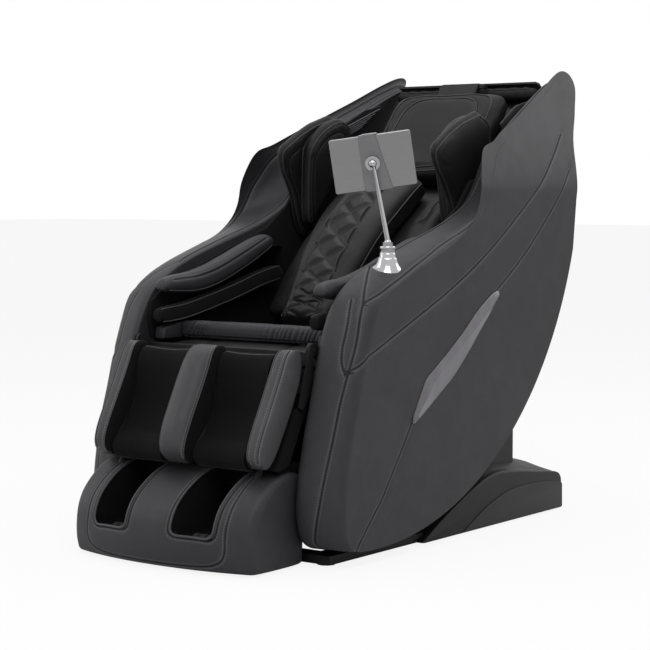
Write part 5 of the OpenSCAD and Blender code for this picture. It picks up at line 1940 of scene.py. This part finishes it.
@dataclass
class Tablet(Assembly):
    """The tablet's case, and the holder that clasps it."""

    at: tuple[float, float, float] = (302.0, -262.0, 890.0)
    turns: tuple[tuple[int, float], ...] = ((1, -8.0), (0, 8.0), (2, 33.0))  # each an axis and its degrees
    case_half: tuple[float, float] = (95.0, 63.5)
    holder_half: tuple[float, float] = (26.0, 66.3)
    clasp: tuple[float, float, float] = (36.0, 15.6, 2.8)
    slant: float = -0.19  # how far the holder's left edge leans

    def local(self, piece: bpy.types.Object) -> bpy.types.Object:
        """Moves a piece from the tablet's own frame, in millimetres, to its place."""
        co = millimetres(piece)
        for axis, degrees in self.turns:
            a = math.radians(degrees)
            i, j = ((1, 2), (2, 0), (0, 1))[axis]
            u, v = co[:, i].copy(), co[:, j].copy()
            co[:, i], co[:, j] = u * math.cos(a) - v * math.sin(a), u * math.sin(a) + v * math.cos(a)
        reshape(piece, metres(co + self.at))
        return piece

    def slab(self, name: str, half: tuple[float, float], y: tuple[float, float],
             corner: float) -> bpy.types.Object:
        """Makes a plate with rounded corners and edges, facing y.

        Args:
            name: The piece's name.
            half: Half its width and half its height.
            y: Where its front and its back are.
            corner: The radius of its corners.

        Returns:
            The plate.
        """
        turn = np.linspace(0, 2 * np.pi, 64, endpoint=False)
        cx, cz = np.cos(turn), np.sin(turn)
        out = np.column_stack([np.sign(cx) * (half[0] - corner) + corner * cx,
                               np.sign(cz) * (half[1] - corner) + corner * cz])
        edge = min(1.6, (y[1] - y[0]) / 2)
        levels = [(0, edge + 1.5), (0, edge), (edge * 0.35, edge * 0.35), (edge, 0)]
        levels = [(y[0] + z, inset) for z, inset in levels] + [(y[1] - z, inset) for z, inset in levels[::-1]]
        rings = []
        for level, inset in levels:
            q = out * (1 - inset / half[1])
            rings.append(np.column_stack([q[:, 0], np.full(len(q), level), q[:, 1]]))
        return crease(loft(name, np.array(rings)), 25)

    def build(self) -> None:
        """Makes the case, and the holder with its band and two clasps."""
        case = self.painted(self.slab("case", self.case_half, (18.6, 26.2), 5), BRUSHED)
        self.place(self.local(case), BRUSHED, "tablet_case")
        plate = self.painted(self.slab("holder", self.holder_half, (14.5, 18.3), 3), GRILLE)
        co = millimetres(plate)
        co[:, 0] += np.clip(co[:, 0] / 20, 0, 1) * self.slant * co[:, 2]
        reshape(plate, metres(co))
        clasps = []
        for side in (1, -1):
            bpy.ops.object.select_all(action="DESELECT")
            bpy.ops.mesh.primitive_cube_add(size=1, calc_uvs=False)
            clasp = bpy.context.active_object
            middle = (0, 14.5 + self.clasp[1] / 2, side * (self.holder_half[1] - 1))
            reshape(clasp, metres(points_of(clasp.data) * self.clasp + middle))
            clasps.append(self.painted(rounded(clasp, 0.9), GRILLE))
        holder = join(plate, *clasps)
        holder.name = "holder_plate"
        self.place(self.local(holder), BRUSHED, "tablet_holder")


class Works:
    """The CAD nodes that show as they are, each with its material."""

    FINISHES = {
        STEEL: ("base_frame", "recline_tube", "body_frame", "rocker_webs", "leg_drive_tube", "foot_frame"),
        # The leg frame takes the frame steel painted darker, as painted shade.
        SHADED_STEEL: ("leg_frame",),
        JERSEY: ("calf_shell",),
        HIDE: ("back_cover",),
        BRIGHT: ("recline_rod", "track_rods", "leg_drive_rod", "stand_pole", "tablet_socket"),
        BRUSHED: ("carriage", "knead_arm_left", "knead_arm_right"),
        RUBBER: ("base_feet", "front_rollers", "rear_rollers", "wheel_left", "wheel_right",
                 "massage_roller_left", "massage_roller_right", "foot_roller_front", "foot_roller_rear"),
        BLACK_PLASTIC: ("pedestal_cover", "power_box", "power_switch", "air_pump", "control_box"),
        WOOD: ("boards",),
        GLASS: ("tablet_screen",),
    }

    def __init__(self, palette: Palette, nodes: dict[str, bpy.types.Object]) -> None:
        """Keeps the materials and the CAD nodes."""
        self.palette, self.nodes = palette, nodes

    def build(self) -> None:
        """Gives each node its material."""
        for finish, names in self.FINISHES.items():
            for name in names:
                node = self.nodes[name]
                node.data.materials.clear()
                node.data.materials.append(self.palette.material(finish))
                log.info("%s: CAD node in %s", name, finish.name)


FLOOR_SIZE = 80.0  # in metres


class Studio:
    """A pale floor, soft light and the camera."""

    def build(self) -> None:
        """Makes the floor, the lights and the camera."""
        self.floor()
        self.lights()
        self.camera()

    @staticmethod
    def floor() -> None:
        """Makes a pale floor that reaches out of sight."""
        bpy.ops.object.select_all(action="DESELECT")
        bpy.ops.mesh.primitive_plane_add(size=FLOOR_SIZE, calc_uvs=False)
        floor = bpy.context.active_object
        floor.name = "studio_floor"
        shader = Shader("studio_floor")
        shader.set(Roughness=0.8, Specular_IOR_Level=0.1)
        shader.colour((0.90, 0.90, 0.90), shader.noise(0.4, 1.0), (0.92, 0.92, 0.92))
        seen, glow = shader.node("LightPath", output="Is Camera Ray"), shader.node("Emission")
        lit = Wire(shader, shader.bsdf.outputs[0])
        shader.surface(shader.node("MixShader", values={0: seen * 0.88, 1: lit, 2: glow}))
        floor.data.materials.append(shader.material)

    @staticmethod
    def lights() -> None:
        """Makes an even surround with a few soft boxes."""
        world = bpy.data.worlds.new("studio")
        world.use_nodes = True
        graph = Graph(world.node_tree)
        soft, white = (graph.node("Background", values={"Color": (1, 1, 1, 1), "Strength": strength})
                       for strength in (0.42, 1.0))
        seen = graph.node("LightPath", output="Is Camera Ray")
        for kind in ("Is Glossy Ray", "Is Transmission Ray"):
            seen = seen.math("MAXIMUM", graph.node("LightPath", output=kind))
        graph.surface(graph.node("MixShader", values={0: seen, 1: soft, 2: white}))
        bpy.context.scene.world = world
        bpy.context.scene.view_settings.view_transform = "Standard"
        for name, place, target, size, power in (
                ("key", (1.8, -2.4, 3.6), (0, 0, 0.5), 2.4, 60.0),
                ("fill", (-3.4, -2.2, 2.2), (0, 0, 0.6), 2.6, 30.0),
                ("rim", (2.2, 3.0, 2.8), (0, 0.2, 0.7), 2.0, 30.0),
                ("top", (-0.4, 0.4, 4.2), (0, 0.1, 0.5), 3.0, 50.0)):
            data = bpy.data.lights.new(name, "AREA")
            data.size, data.energy = size, power
            lamp = bpy.data.objects.new(name, data)
            lamp.location = place
            lamp.rotation_euler = (Vector(target) - Vector(place)).to_track_quat("-Z", "Y").to_euler()
            bpy.context.scene.collection.objects.link(lamp)

    @staticmethod
    def camera() -> None:
        """Makes the camera, at the height of the armrests and off to the sitter's left."""
        data = bpy.data.cameras.new("camera")
        data.lens, data.sensor_width = 104.95, 36.0
        camera = bpy.data.objects.new("camera", data)
        camera.location = (2.82325, -3.83820, 0.84035)
        camera.rotation_euler = (math.radians(90 - 4.004), 0.0, math.radians(36.616))
        bpy.context.scene.collection.objects.link(camera)
        bpy.context.scene.camera = camera


def main() -> None:
    """Builds the chair round its CAD frame."""
    logging.basicConfig(level=logging.INFO, format="%(name)s: %(message)s")
    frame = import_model()
    palette = Palette()
    Works(palette, frame["nodes"]).build()
    upper = (palette, "upper_body")
    for side in (1, -1):
        SidePanel(*upper, side).build()
        ArmUnit(*upper, side).build()
        ShoulderWing(*upper, side).build()
    for part in (Liners(*upper), Speakers(*upper), Seat(*upper), Back(*upper), Stand(*upper),
                 Pillow(palette, "head_pillow"), LegRest(palette, "leg_rest"),
                 FootUnit(palette, "foot_unit"), Base(palette, "base"), Tablet(palette, "tablet")):
        part.build()
    Studio().build()
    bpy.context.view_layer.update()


if __name__ == "__main__":
    main()
